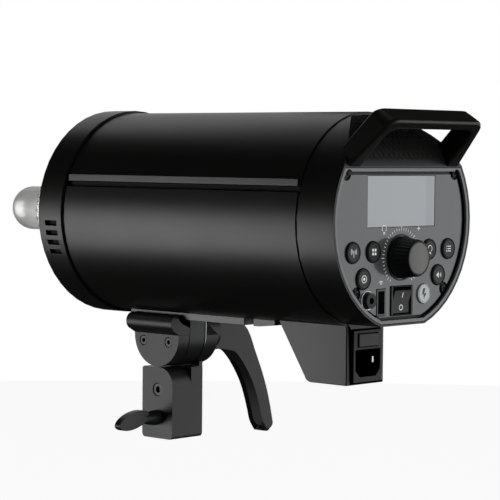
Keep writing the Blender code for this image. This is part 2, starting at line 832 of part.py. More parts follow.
def panel_holes(depth):
    """Cutters for the controls that pass through the panel."""
    start = plate_back - 2 * cut_past
    holes = [rod("Y", start, depth, button_radius + hole_gap, (x, 0.0, z), 20)
             for x, z in button_places.values()]
    x, z = test_button_place
    holes.append(rod("Y", start, depth, test_button_radius + hole_gap, (x, 0.0, z), 20))
    holes.append(rod("Y", start, depth, knob_shaft_radius + hole_gap, (0.0, 0.0, knob_height), 24))
    for place, size in ((switch_place, switch_frame_size), (usb_place, usb_size)):
        half_x = size[0] / 2 + hole_gap
        half_z = size[1] / 2 + hole_gap
        holes.append(block((place[0] - half_x, start, place[1] - half_z),
                           (place[0] + half_x, depth, place[1] + half_z)))
    x, z = jack_place
    holes.append(rod("Y", start, depth, jack_radius + hole_gap, (x, 0.0, z), 24))
    return holes


def control_panel(finishes, lamp):
    outline = cap_outline(cap_top - panel_seat_wall - face_gap, panel_seat_wall + face_gap)
    plate = make_part("panel_plate", prism("Y", outline, plate_back, plate_front), finishes["dark"], lamp)
    combine(plate, merged(*panel_holes(plate_front + 2 * cut_past)))
    inner = cap_outline(cap_top - panel_face_inset, panel_face_inset)
    face = make_part("panel_face", prism("Y", inner, plate_front + face_gap, panel_front),
                     finishes["panel"], lamp)
    combine(face, merged(*panel_holes(panel_front + 2 * cut_past)))
    width, height = lcd_size
    window = block((-width / 2 - face_gap, plate_front + skin, lcd_height - height / 2 - face_gap),
                   (width / 2 + face_gap, panel_front + cut_past, lcd_height + height / 2 + face_gap))
    notch_radius = screw_head_radius + screw_notch
    notches = [rod("Y", plate_front - cut_past, panel_front + cut_past, notch_radius, (x, 0.0, z), 16)
               for x, z in panel_screw_places]
    combine(face, merged(window, *notches))
    rim = make_part("panel_rim", rim_band(), finishes["rim"], lamp)
    wells = [rod("Y", plate_front, cap_rear + cut_past, screw_head_radius + hole_gap, (x, 0.0, z), 14)
             for x, z in panel_screw_places]
    combine(rim, merged(*wells))
    screen = block((-width / 2, plate_front + face_gap, lcd_height - height / 2),
                   (width / 2, panel_front - skin, lcd_height + height / 2))
    make_part("lcd_window", screen, finishes["screen"], lamp)


def rim_band():
    inset = panel_seat_wall + face_gap
    outer = cap_outline(cap_top - inset, inset)
    inner = cap_outline(cap_top - inset - rim_width, inset + rim_width)
    return ring_prism("Y", outer, inner, cap_rear - rim_height, cap_rear)


def panel_screws(finishes, lamp):
    for number, (x, z) in enumerate(panel_screw_places, 1):
        front = plate_front + face_gap + screw_head_height
        screw = rod("Y", plate_front + face_gap, front, screw_head_radius, (x, 0.0, z), 14)
        make_part(f"panel_screw_{number}", screw, finishes["steel"], lamp)


def buttons(finishes, lamp):
    front = panel_front + button_proud
    back = plate_back - button_tail
    places = [(name, place, button_radius, "button") for name, place in button_places.items()]
    places.append(("test_button", test_button_place, test_button_radius, "lens"))
    for name, (x, z), radius, look in places:
        profile = [(back, 0.0), (back, radius), (front - button_bevel, radius),
                   (front, radius - button_bevel), (front, 0.0)]
        make_part(name, turned("Y", profile, (x, 0.0, z), 20), finishes[look], lamp, (x, panel_front, z))


def power_knob(finishes, lamp):
    place = (0.0, 0.0, knob_height)
    foot = panel_front + face_gap
    top = panel_front + knob_length
    tail = plate_back - knob_shaft_tail
    profile = [(tail, 0.0), (tail, knob_shaft_radius), (foot, knob_shaft_radius),
               (foot, knob_radius), (top - knob_bevel[0], knob_top_radius + knob_bevel[1]),
               (top, knob_top_radius), (top, 0.0)]
    make_part("power_knob", turned("Y", profile, place, 36), finishes["knob"], lamp, (0.0, foot, knob_height))


def power_switch(finishes, lamp):
    x, z = switch_place
    half_x, half_z = switch_frame_size[0] / 2, switch_frame_size[1] / 2
    back = plate_back - switch_depth
    frame = make_part("switch_frame", block((x - half_x, back, z - half_z),
                                            (x + half_x, panel_front + switch_frame_proud, z + half_z)),
                      finishes["button"], lamp)
    open_x, open_z = switch_opening_size[0] / 2, switch_opening_size[1] / 2
    combine(frame, block((x - open_x, back + socket_wall, z - open_z),
                         (x + open_x, panel_front + 2 * cut_past, z + open_z)))
    pivot = (x, plate_front - rocker_pivot_depth, z)
    half_width = open_x - slide_gap
    reach = rocker_half_height
    crown = panel_front + rocker_proud - pivot[1]
    tail, tail_half = rocker_tail
    outline = [(-tail, -tail_half), (rocker_shoulder, -reach), (crown, -reach), (crown - rocker_hollow, 0.0),
               (crown, reach), (rocker_shoulder, reach), (-tail, tail_half)]
    rocker = prism("X", outline, -half_width, half_width)
    lean = Matrix.Translation(pivot) @ Matrix.Rotation(-rocker_swing / 2, 4, "X")
    bmesh.ops.transform(rocker, matrix=lean, verts=rocker.verts)
    make_part("power_rocker", rocker, finishes["button"], lamp, pivot)


def panel_sockets(finishes, lamp):
    x, z = usb_place
    half_x, half_z = usb_size[0] / 2, usb_size[1] / 2
    back = plate_back - usb_depth
    usb = make_part("usb_socket", block((x - half_x, back, z - half_z),
                                        (x + half_x, panel_front + usb_proud, z + half_z)),
                    finishes["steel"], lamp)
    open_x, open_z = usb_opening[0] / 2, usb_opening[1] / 2
    combine(usb, block((x - open_x, back + socket_wall, z - open_z),
                       (x + open_x, panel_front + 2 * cut_past, z + open_z)))
    x, z = jack_place
    back = plate_back - jack_depth
    front = panel_front + jack_proud
    profile = [(back, 0.0), (back, jack_radius), (front, jack_radius),
               (front, jack_bore), (back + socket_wall, jack_bore), (back + socket_wall, 0.0)]
    make_part("sync_socket", turned("Y", profile, (x, 0.0, z), 24), finishes["steel"], lamp)


def control_board(finishes, lamp):
    """Board behind the panel, clear of the sprung buttons at full travel."""
    front = plate_back - max(knob_shaft_tail, button_tail + button_travel) - board_clearance
    low = switch_place[1] + switch_frame_size[1] / 2 + board_clearance
    high = lamp_axis_height + board_top_rise
    outline = rounded_box(-board_half_width, board_half_width, low, high, board_corner)
    make_part("control_board", prism("Y", outline, front - board_thickness, front), finishes["board"], lamp)


def mains_inlet(finishes, lamp):
    """The connector box under the housing, its inlet, fuse drawer and three pins."""
    rear = tube_rear
    top = lamp_axis_height - sqrt(tube_radius ** 2 - inlet_half_width ** 2) + shell_wall
    radius = inlet_corner
    outline = [(rear, inlet_bottom), (rear, top), (inlet_front_top, top),
               (inlet_front_top, tube_bottom + 2 * cut_past)]
    outline += arc((tube_rear - inlet_length_bottom + radius, inlet_bottom + radius), radius, 200, 270, 5)
    box = make_part("inlet_box", prism("X", outline, -inlet_half_width, inlet_half_width),
                    finishes["black"], lamp)
    half = inlet_module_half + hole_gap
    module_bottom = inlet_bottom + inlet_module_base
    module_top = module_bottom + inlet_module_height
    low = module_bottom - hole_gap
    high = module_top + hole_gap
    combine(box, block((-half, rear - inlet_module_depth - face_gap, low), (half, rear + cut_past, high)))
    front = rear + inlet_module_proud
    body = make_part("inlet_module", block((-inlet_module_half, rear - inlet_module_depth, module_bottom),
                                           (inlet_module_half, front, module_top)),
                     finishes["dark"], lamp)
    half_x, half_z = mains_opening_size[0] / 2, mains_opening_size[1] / 2
    cut = mains_opening_chamfer
    z = inlet_bottom + mains_opening_rise
    fuse_height = inlet_bottom + fuse_rise
    mouth = [(-half_x, z + half_z), (half_x, z + half_z), (half_x, z - half_z + cut),
             (half_x - cut, z - half_z), (-half_x + cut, z - half_z), (-half_x, z - half_z + cut)]
    mouth_back = front - mains_opening_depth
    half_fuse = fuse_size[0] / 2 + slide_gap
    drawer_back = front - fuse_travel - fuse_engaged
    fuse_slot = block((-half_fuse, drawer_back - face_gap, fuse_height - fuse_size[1] / 2 - slide_gap),
                      (half_fuse, front + cut_past, fuse_height + fuse_size[1] / 2 + slide_gap))
    combine(body, merged(prism("Y", mouth, mouth_back, front + cut_past), fuse_slot))
    drawer = block((-fuse_size[0] / 2, drawer_back, fuse_height - fuse_size[1] / 2),
                   (fuse_size[0] / 2, front + fuse_proud, fuse_height + fuse_size[1] / 2))
    make_part("fuse_drawer", drawer, finishes["button"], lamp, (0.0, front, fuse_height))
    for name, across, up in (("pin_line", -pin_spacing, pin_rise), ("pin_neutral", pin_spacing, pin_rise),
                             ("pin_earth", 0.0, pin_rise - earth_pin_drop)):
        wide, tall = pin_size
        pin = block((across - wide / 2, mouth_back + face_gap, z + up - tall / 2),
                    (across + wide / 2, mouth_back + pin_length, z + up + tall / 2))
        make_part(name, pin, finishes["brass"], lamp)


def balance_rail(finishes, lamp):
    """Channel under the housing that the bracket's tenon slides in."""
    lip_top = rail_bottom + rail_lip
    cavity_top = lip_top + rail_cavity
    section = [(-rail_half_width, rail_bottom), (-rail_neck_half, rail_bottom), (-rail_neck_half, lip_top),
               (-rail_head_half, lip_top), (-rail_head_half, cavity_top), (rail_head_half, cavity_top),
               (rail_head_half, lip_top), (rail_neck_half, lip_top), (rail_neck_half, rail_bottom),
               (rail_half_width, rail_bottom), (rail_half_width, rail_top), (-rail_half_width, rail_top)]
    rail = make_part("balance_rail", prism("Y", section, rail_front, rail_rear), finishes["grey"], lamp)
    notch_start, notch_end = (rail_rear - distance for distance in rail_notch_from_rear)
    notch = block((-rail_half_width - cut_past, notch_start, rail_bottom - cut_past),
                  (rail_half_width + cut_past, notch_end, rail_bottom + rail_notch_height))
    past, below = rail_rear + cut_past, rail_bottom - cut_past
    wedge = [(rail_rear - rail_taper_length, below), (past, below), (past, rail_bottom + rail_taper)]
    end = prism("X", wedge, -rail_half_width - cut_past, rail_half_width + cut_past)
    combine(rail, merged(notch, end))


def half_disc(top, half_top, radius=joint_radius, steps=24):
    """Half-round lower outline about the tilt axis with a straight part above it, as (y, z)."""
    outline = arc((0.0, tilt_height), radius, 180, 360, steps)
    return outline + [(half_top, top), (-half_top, top)]


def tilt_bracket(finishes, tilt):
    top = rail_bottom - face_gap
    body = prism("X", half_disc(top, joint_radius), bracket_far, bracket_near)
    bracket = make_part("tilt_bracket", body, finishes["block"], tilt)
    lip_top = rail_bottom + rail_lip
    neck = rail_neck_half - slide_gap
    head = rail_head_half - slide_gap
    low = lip_top + slide_gap
    high = lip_top + rail_cavity - slide_gap
    tenon = [(-neck, top - 2 * cut_past), (neck, top - 2 * cut_past), (neck, low), (head, low), (head, high),
             (-head, high), (-head, low), (-neck, low)]
    combine(bracket, prism("Y", tenon, -tenon_half_length, tenon_half_length), "UNION")
    axis = (0.0, 0.0, tilt_height)
    head_radius, head_length = bolt_head
    bore = rod("X", bracket_far - cut_past, bracket_near + cut_past, bolt_radius + hole_gap, axis, 24)
    combine(bracket, bore)
    seat = rod("X", bracket_near - head_length - 2 * face_gap, bracket_near + cut_past,
               head_radius + hole_gap, axis, 24)
    combine(bracket, seat)


def clamp_jaw(finishes, tilt):
    """Outer jaw: a half-round cheek with a rounded hook that grips the rail's edge."""
    start = bracket_near + face_gap
    cheek = prism("X", half_disc(tilt_height + jaw_cheek_rise, joint_radius), start, jaw_face)
    jaw = make_part("clamp_jaw", cheek, finishes["block"], tilt)
    across = rail_half_width + jaw_bar_offset[0]
    up = rail_bottom + jaw_bar_offset[1]
    reach = joint_radius + jaw_overlap
    inner = rail_half_width + face_gap
    section = [(start, tilt_height + jaw_bar_root), (jaw_face, tilt_height + jaw_bar_root)]
    section += arc((across, up), jaw_bar_radius, -70, 95, 10)
    below = rail_bottom - face_gap
    section += [(inner, rail_bottom + jaw_lip_rise), (inner, below - jaw_lip_drop)]
    section += [(inner - jaw_relief[0], below - jaw_relief[1]), (start, below - jaw_relief_foot)]
    combine(jaw, prism("Y", section, -reach, reach), "UNION")
    head_radius, head_depth = jaw_screw_head
    wells = [rod("X", jaw_face - head_depth, jaw_face + cut_past, head_radius + hole_gap,
                 (0.0, y, tilt_height + rise), 20)
             for y, rise in jaw_screw_places]
    combine(jaw, merged(*wells))


def jaw_screws(finishes, tilt):
    radius, depth = jaw_screw_head
    key_radius, key_depth = jaw_screw_socket
    end = jaw_face - face_gap
    for name, (y, rise) in zip(("jaw_screw_front", "jaw_screw_rear"), jaw_screw_places):
        start = jaw_face - depth + face_gap
        screw = turned("X", [(start, 0.0), (start, radius), (end, radius), (end, key_radius),
                             (end - key_depth, key_radius), (end - key_depth, 0.0)],
                       (0.0, y, tilt_height + rise), 18)
        make_part(name, screw, finishes["steel"], tilt)


def tilt_bolt(finishes, tilt):
    head_radius, head_length = bolt_head
    head_end = bracket_near - face_gap
    end = ear_far - bolt_engaged
    bolt = turned("X", [(end, 0.0), (end, bolt_radius), (head_end - head_length, bolt_radius),
                        (head_end - head_length, head_radius), (head_end, head_radius), (head_end, 0.0)],
                  (0.0, 0.0, tilt_height), 24)
    make_part("tilt_bolt", bolt, finishes["steel"], tilt)
    start = bracket_far - face_gap
    washer_radius = joint_radius + washer_proud
    outline = half_disc(rail_bottom - face_gap, washer_radius, washer_radius, 28)
    washer = make_part("friction_washer", prism("X", outline, start - washer_thickness, start),
                       finishes["washer"], tilt)
    bore_radius = bolt_radius + 2 * hole_gap
    combine(washer, rod("X", start - washer_thickness - cut_past, start + cut_past, bore_radius,
                        (0.0, 0.0, tilt_height), 20))


def ear_outline():
    """Round ear, trimmed so that the lamp's rail clears it from full tilt down to full tilt up."""
    reach = ear_top_radius
    rear_meet = degrees(asin(reach / joint_radius) - tilt_up)
    front_meet = 180 - degrees(asin(reach / joint_radius) - tilt_down)
    outline = arc((0.0, tilt_height), joint_radius, front_meet, 360 + rear_meet, 32)
    outline += arc((0.0, tilt_height), reach, 90 - degrees(tilt_up), 90 + degrees(tilt_down), 12)
    return outline


def stand_block(finishes):
    low_corner = block_low_corner
    half = block_half_depth
    near = arc((half - block_corner, block_top - block_corner), block_corner, 0, 90, 8)
    near += [(-half + block_chamfer, block_top), (-half, block_top - block_chamfer)]
    near += arc((-half + low_corner, low_corner), low_corner, 180, 270, 3)
    near += arc((half - low_corner, low_corner), low_corner, 270, 360, 3)
    body = make_part("stand_block", prism("X", near, block_step, block_half_width), finishes["block"])
    far = [(half, block_top), (-half, block_top)]
    far += arc((-half + low_corner, low_corner), low_corner, 180, 270, 3)
    far += arc((half - low_corner, low_corner), low_corner, 270, 360, 3)
    combine(body, prism("X", far, block_far, block_step + join_overlap), "UNION")
    riser = block((block_far + skin, -half + skin, block_top - riser_root),
                  (ear_near - 2 * skin, half - skin, block_top + ear_riser))
    combine(body, riser, "UNION")
    outer, inner = ear_far + gusset_inset, ear_near - gusset_inset
    low, knee, high = (block_top + rise for rise in gusset_rises)
    gusset = [(block_far + gusset_inset, low), (outer, knee), (outer, high), (inner, high), (inner, low)]
    combine(body, prism("Y", gusset, -gusset_half, gusset_half), "UNION")
    combine(body, prism("X", ear_outline(), ear_far, ear_near), "UNION")
    bore = socket_bore + bush_wall + hole_gap
    combine(body, rod("Z", -cut_past, socket_depth, bore, (0.0, 0.0, 0.0), 36))
    side = rod("X", bore - 2 * cut_past, block_half_width + cut_past, thumb_thread_radius + hole_gap,
               (0.0, 0.0, thumb_height), 20)
    combine(body, side)
    cross = rod("X", bore + cross_screw_floor, block_half_width + cut_past, cross_screw_radius + hole_gap,
                (0.0, 0.0, cross_screw_height), 20)
    combine(body, cross)
    combine(body, rod("X", ear_far - cut_past, ear_near + 2 * face_gap, bolt_radius + 2 * hole_gap,
                      (0.0, 0.0, tilt_height), 24))


def block_fittings(finishes):
    bush = pipe("Z", face_gap, socket_depth - face_gap, socket_bore + bush_wall, socket_bore, (0, 0, 0), 36)
    make_part("socket_bush", bush, finishes["brass"])
    start = socket_bore + bush_wall + cross_screw_floor + 2 * face_gap
    end = block_half_width - cross_screw_inset
    key_radius, key_depth = cross_screw_socket
    screw = turned("X", [(start, 0.0), (start, cross_screw_radius), (end, cross_screw_radius),
                         (end, key_radius), (end - key_depth, key_radius), (end - key_depth, 0.0)],
                   (0.0, 0.0, cross_screw_height), 20)
    make_part("cross_screw", screw, finishes["steel"])


def thumb_screw(finishes, thumb):
    """Clamp screw of the stand socket, with a slanted oval blade."""
    tip = socket_bore + bush_wall + hole_gap + 2 * skin
    shoulder = block_half_width + face_gap
    profile = [(tip, 0.0), (tip, thumb_thread_radius), (shoulder, thumb_thread_radius)]
    profile += [(shoulder + along, radius) for along, radius in thumb_neck]
    profile.append((shoulder + thumb_neck[-1][0], 0.0))
    axis = (0.0, 0.0, thumb_height)
    screw = make_part("thumb_screw", turned("X", profile, axis, 24), finishes["block"], thumb)
    long_half, short_half, thick = thumb_blade
    turns = [2 * pi * step / 28 for step in range(28)]
    blade = [(long_half * cos(turn), short_half * sin(turn)) for turn in turns]
    shape = prism("Y", blade, -thick / 2, thick / 2)
    place = Matrix.Translation((block_half_width + thumb_blade_offset, 0.0, thumb_height))
    bmesh.ops.transform(shape, matrix=place @ Matrix.Rotation(-thumb_blade_slant, 4, "Y"), verts=shape.verts)
    combine(screw, shape, "UNION")


def lever_outline():
    """Outline of the lever arm around its spine, with a round end, as (x, z)."""
    spine = smooth_line([(ear_far + x, tilt_height + z, half) for x, z, half in lever_spine], 3)
    left, right = [], []
    for index, (x, z, half) in enumerate(spine):
        before = spine[max(index - 1, 0)]
        after = spine[min(index + 1, len(spine) - 1)]
        along = Vector((after[0] - before[0], after[1] - before[1])).normalized()
        left.append((x - along.y * half, z + along.x * half))
        right.append((x + along.y * half, z - along.x * half))
    x, z, half = spine[-1]
    end = Vector((spine[-1][0] - spine[-2][0], spine[-1][1] - spine[-2][1])).normalized()
    tip = []
    for turn in (45, 90, 135):
        across = cos(radians(turn))
        ahead = sin(radians(turn))
        tip.append((x + half * (end.x * ahead - end.y * across),
                    z + half * (end.x * across + end.y * ahead)))
    return left + tip + right[::-1]


def tilt_lever(finishes, lever):
    start = ear_far - face_gap
    hub_end = start - lever_hub_length
    profile = [(start, 0.0), (start, lever_hub_radius), (hub_end + lever_hub_bevel, lever_hub_radius),
               (hub_end, lever_hub_radius - lever_hub_bevel), (hub_end, 0.0)]
    axis = (0.0, 0.0, tilt_height)
    hub = make_part("tilt_lever", turned("X", profile, axis, 32), finishes["block"], lever)
    combine(hub, prism("Y", lever_outline(), -lever_half_depth, lever_half_depth), "UNION")
    insert = bolt_radius + lever_nut_wall
    combine(hub, rod("X", start - lever_nut_depth, start + cut_past, insert + hole_gap, axis, 24))
    ring = pipe("X", start - lever_nut_depth + face_gap, start - face_gap, insert,
                bolt_radius + hole_gap, axis, 24)
    make_part("lever_nut", ring, finishes["brass"], lever)


def inner_works(finishes, lamp, fan):
    middle = lamp_axis_height
    low = middle - power_board_drop
    board = block((-power_board_half_width, tube_front + power_board_front, low),
                  (power_board_half_width, fan_front - power_board_fan_gap, low + board_thickness))
    make_part("power_board", board, finishes["board"], lamp)
    for name, side in (("capacitor_left", 1), ("capacitor_right", -1)):
        front = tube_front + capacitor_front
        can = rod("Y", front, front + capacitor_length, capacitor_radius,
                  (side * capacitor_offset[0], 0.0, middle + capacitor_offset[1]), 24)
        make_part(name, can, finishes["can"], lamp)
    start = fan_front
    frame = block((-fan_half, start, middle - fan_half), (fan_half, start + fan_depth, middle + fan_half))
    part = make_part("fan_frame", frame, finishes["dark"], lamp)
    combine(part, rod("Y", start - cut_past, start + fan_depth + cut_past, fan_bore, lamp_axis, 32))
    outline = []
    for blade in range(fan_blades):
        turn = 360 * blade / fan_blades
        outline += arc((0.0, middle), fan_bore - fan_tip_gap, turn, turn + 14, 2)
        outline += arc((0.0, middle), fan_hub_radius, turn + 16, turn + 360 / fan_blades - 2, 3)
    rotor = prism("Y", outline, start + fan_side_gap, start + fan_depth - fan_side_gap)
    make_part("fan_rotor", rotor, finishes["dark"], fan, (0.0, start + fan_depth / 2, middle))


def build():
    clear_scene()
    finishes = {
        "black": finish("black_paint", (0.018, 0.018, 0.019), 0.42),
        "block": finish("black_casting", (0.030, 0.030, 0.031), 0.45),
        "dark": finish("black_plastic", (0.008, 0.008, 0.009), 0.60),
        "grey": finish("grey_metal", (0.100, 0.100, 0.102), 0.40, 0.6),
        "steel": finish("steel", (0.550, 0.550, 0.540), 0.30, 1.0),
        "washer": finish("washer_steel", (0.420, 0.450, 0.470), 0.35, 1.0),
        "brass": finish("brass", (0.600, 0.440, 0.180), 0.35, 1.0),
        "silver": finish("polished_plate", (0.800, 0.800, 0.780), 0.20, 1.0),
        "ceramic": finish("ceramic", (0.780, 0.760, 0.700), 0.50),
        "glass": finish("flash_glass", (0.850, 0.880, 0.880), 0.08),
        "frosted": finish("frosted_glass", (0.620, 0.620, 0.590), 0.45),
        "panel": finish("panel_gloss", (0.040, 0.042, 0.044), 0.08),
        "rim": finish("rim_grey", (0.450, 0.460, 0.460), 0.40),
        "screen": finish("screen_glass", (0.420, 0.450, 0.470), 0.12),
        "button": finish("button_rubber", (0.022, 0.022, 0.024), 0.55),
        "lens": finish("lit_button", (0.700, 0.720, 0.680), 0.30),
        "knob": finish("knob_plastic", (0.060, 0.060, 0.060), 0.45),
        "board": finish("circuit_board", (0.020, 0.140, 0.060), 0.50),
        "can": finish("capacitor_sleeve", (0.020, 0.030, 0.090), 0.35),
    }
    tilt = pivot_empty("tilt_axis", (0.0, 0.0, tilt_height))
    lamp = pivot_empty("lamp_slide", (0.0, 0.0, rail_bottom), tilt)
    lever = pivot_empty("lever_axis", (0.0, 0.0, tilt_height))
    thumb = pivot_empty("thumb_axis", (0.0, 0.0, thumb_height))
    fan = pivot_empty("fan_axis", (0.0, 0.0, lamp_axis_height), lamp)
    stand_block(finishes)
    block_fittings(finishes)
    thumb_screw(finishes, thumb)
    tilt_lever(finishes, lever)
    tilt_bracket(finishes, tilt)
    clamp_jaw(finishes, tilt)
    jaw_screws(finishes, tilt)
    tilt_bolt(finishes, tilt)
    balance_rail(finishes, lamp)
    lower_shell(finishes, lamp)
    upper_shell(finishes, lamp)
    side_strips(finishes, lamp)
    front_ring(finishes, lamp)
    accessory_mount(finishes, lamp)
    release_latch(finishes, lamp)
    flash_head(finishes, lamp)
    rear_cap(finishes, lamp)
    vent_mesh(finishes, lamp)
    handle(finishes, lamp)
    control_panel(finishes, lamp)
    panel_screws(finishes, lamp)
    buttons(finishes, lamp)
    power_knob(finishes, lamp)
    power_switch(finishes, lamp)
    panel_sockets(finishes, lamp)
    control_board(finishes, lamp)
    mains_inlet(finishes, lamp)
    inner_works(finishes, lamp, fan)


build()
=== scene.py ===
import json
from math import atan2, cos, degrees, hypot, pi, radians, sin, sqrt
import bmesh
import bpy
from mathutils import Matrix, Vector


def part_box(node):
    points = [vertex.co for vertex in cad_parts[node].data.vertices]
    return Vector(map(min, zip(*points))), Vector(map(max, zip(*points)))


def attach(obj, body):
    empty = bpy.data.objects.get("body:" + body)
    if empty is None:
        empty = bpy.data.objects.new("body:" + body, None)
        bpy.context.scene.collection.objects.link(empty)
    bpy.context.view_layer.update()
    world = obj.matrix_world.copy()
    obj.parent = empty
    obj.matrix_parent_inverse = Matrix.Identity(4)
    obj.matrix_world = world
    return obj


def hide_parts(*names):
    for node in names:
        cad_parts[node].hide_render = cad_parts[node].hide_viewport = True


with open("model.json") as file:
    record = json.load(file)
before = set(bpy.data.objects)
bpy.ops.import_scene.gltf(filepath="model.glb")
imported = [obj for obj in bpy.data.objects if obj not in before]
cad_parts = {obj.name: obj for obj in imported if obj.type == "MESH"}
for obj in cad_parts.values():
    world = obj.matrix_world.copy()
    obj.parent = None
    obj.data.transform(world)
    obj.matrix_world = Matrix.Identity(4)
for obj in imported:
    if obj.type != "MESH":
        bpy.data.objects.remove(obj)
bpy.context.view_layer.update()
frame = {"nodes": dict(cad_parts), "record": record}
nodes = frame["nodes"]
record = frame["record"]
slotOf = {part["node"]: part["material_slot"] for part in record["subparts"]}
bodyOf = {name: body for body, names in record["behaviour"]["bodies"].items() for name in names}
print("frame loaded:", len(nodes), "nodes")


class Wire:
    # a socket in a material's tree; sums and products of wires add Math nodes
    def __init__(self, tree, socket=None):
        self.tree = tree
        self.socket = socket

    def node(self, kind, settings=None, inputs=None, output=0):
        made = self.tree.nodes.new(kind)
        for name, value in (settings or {}).items():
            setattr(made, name, value)
        for name, value in (inputs or {}).items():
            if isinstance(value, Wire):
                self.tree.links.new(value.socket, made.inputs[name])
            else:
                made.inputs[name].default_value = value
        return Wire(self.tree, made.outputs[output])

    def calc(self, operation, first, second):
        return self.node("ShaderNodeMath", {"operation": operation}, {0: first, 1: second})

    def __add__(self, other):
        return self.calc("ADD", self, other)

    def __radd__(self, other):
        return self.calc("ADD", other, self)

    def __sub__(self, other):
        return self.calc("SUBTRACT", self, other)

    def __rsub__(self, other):
        return self.calc("SUBTRACT", other, self)

    def __mul__(self, other):
        return self.calc("MULTIPLY", self, other)

    def __rmul__(self, other):
        return self.calc("MULTIPLY", other, self)

    def blend(self, low, high):
        # a colour that runs from low to high as this wire runs from 0 to 1
        return self.node("ShaderNodeMix", {"data_type": "RGBA"},
                         {0: self, 6: (*low, 1.0), 7: (*high, 1.0)}, output=2)


# grainSize in metres; spread is how far the colour and roughness wander
finishes = {
    "black_paint": {"colour": (0.0060, 0.0056, 0.0052), "roughness": 0.37, "metallic": 0.0,
                    "grainSize": 0.0005, "grainDepth": 0.000020, "spread": 0.16},
    "black_casting": {"colour": (0.0130, 0.0135, 0.0140), "roughness": 0.42, "metallic": 0.0,
                      "grainSize": 0.0007, "grainDepth": 0.000060, "spread": 0.22},
    "black_plastic": {"colour": (0.0060, 0.0060, 0.0062), "roughness": 0.52, "metallic": 0.0,
                      "grainSize": 0.0004, "grainDepth": 0.000020, "spread": 0.15},
    "grey_metal": {"colour": (0.070, 0.070, 0.072), "roughness": 0.36, "metallic": 0.7,
                   "grainSize": 0.0003, "grainDepth": 0.000006, "spread": 0.18},
    "steel": {"colour": (0.460, 0.460, 0.450), "roughness": 0.30, "metallic": 1.0,
              "grainSize": 0.0003, "grainDepth": 0.000004, "spread": 0.10},
    "black_steel": {"colour": (0.040, 0.040, 0.041), "roughness": 0.34, "metallic": 0.8,
                    "grainSize": 0.0003, "grainDepth": 0.000005, "spread": 0.15},
    "nickel": {"colour": (0.620, 0.610, 0.590), "roughness": 0.28, "metallic": 1.0,
               "grainSize": 0.0004, "grainDepth": 0.000004, "spread": 0.08},
    "washer_steel": {"colour": (0.360, 0.390, 0.405), "roughness": 0.30, "metallic": 1.0,
                     "grainSize": 0.0004, "grainDepth": 0.000008, "spread": 0.15},
    "brass": {"colour": (0.600, 0.430, 0.170), "roughness": 0.32, "metallic": 1.0,
              "grainSize": 0.0004, "grainDepth": 0.000006, "spread": 0.12},
    "polished_plate": {"colour": (0.780, 0.780, 0.760), "roughness": 0.16, "metallic": 1.0,
                       "grainSize": 0.0010, "grainDepth": 0.000004, "spread": 0.06},
    "ceramic": {"colour": (0.700, 0.680, 0.620), "roughness": 0.50, "metallic": 0.0,
                "grainSize": 0.0006, "grainDepth": 0.000030, "spread": 0.06},
    "rim_grey": {"colour": (0.150, 0.155, 0.160), "roughness": 0.36, "metallic": 0.0,
                 "grainSize": 0.0004, "grainDepth": 0.000010, "spread": 0.05},
    "button_rubber": {"colour": (0.0070, 0.0070, 0.0076), "roughness": 0.46, "metallic": 0.0,
                      "grainSize": 0.0003, "grainDepth": 0.000014, "spread": 0.12},
    "knob_plastic": {"colour": (0.0050, 0.0050, 0.0052), "roughness": 0.46, "metallic": 0.0,
                     "grainSize": 0.0004, "grainDepth": 0.000030, "spread": 0.15},
    "circuit_board": {"colour": (0.0200, 0.1400, 0.0600), "roughness": 0.45, "metallic": 0.0,
                      "grainSize": 0.0020, "grainDepth": 0.000020, "spread": 0.20},
    "capacitor_sleeve": {"colour": (0.0200, 0.0300, 0.0900), "roughness": 0.30, "metallic": 0.0,
                         "grainSize": 0.0030, "grainDepth": 0.000010, "spread": 0.10},
    # a matte near-black used as painted shade: in the groove between the shells and inside the front ring
    "paintedShadeBlack": {"colour": (0.0022, 0.0022, 0.0023), "roughness": 0.80, "metallic": 0.0,
                  "grainSize": 0.0004, "grainDepth": 0.000010, "spread": 0.10},
    "fibreSheet": {"colour": (0.420, 0.420, 0.410), "roughness": 0.70, "metallic": 0.0,
                   "grainSize": 0.0006, "grainDepth": 0.000015, "spread": 0.10},
}


def newMaterial(name):
    material = bpy.data.materials.new(name)
    material.use_nodes = True
    return material, material.node_tree.nodes["Principled BSDF"], Wire(material.node_tree)


def objectPoint(tree):
    return tree.node("ShaderNodeTexCoord", output="Object")


def noise(tree, scale, detail=2.0):
    point = objectPoint(tree)
    return tree.node("ShaderNodeTexNoise", None, {"Vector": point, "Scale": scale, "Detail": detail})


def link(tree, wire, shader, socket):
    tree.tree.links.new(wire.socket, shader.inputs[socket])


def grainMaterial(name, colour, roughness, metallic, grainSize, grainDepth, spread):
    # paint, casting, moulding or metal: a fine grain over a slow drift of tone
    material, shader, tree = newMaterial(name)
    point = objectPoint(tree)
    fine = tree.node("ShaderNodeTexNoise", None, {"Vector": point, "Scale": 1.0 / grainSize, "Detail": 3.0})
    slow = tree.node("ShaderNodeTexNoise", None, {"Vector": point, "Scale": 28.0, "Detail": 2.0})
    tone = fine * 0.55 + slow * 0.45
    dark = [part * (1.0 - spread) for part in colour]
    light = [part * (1.0 + spread) for part in colour]
    link(tree, tone.blend(dark, light), shader, "Base Color")
    link(tree, tone * (spread * 0.5) + (roughness - spread * 0.25), shader, "Roughness")
    bump = tree.node("ShaderNodeBump", None, {"Height": fine, "Strength": 0.6, "Distance": grainDepth})
    link(tree, bump, shader, "Normal")
    shader.inputs["Metallic"].default_value = metallic
    return material


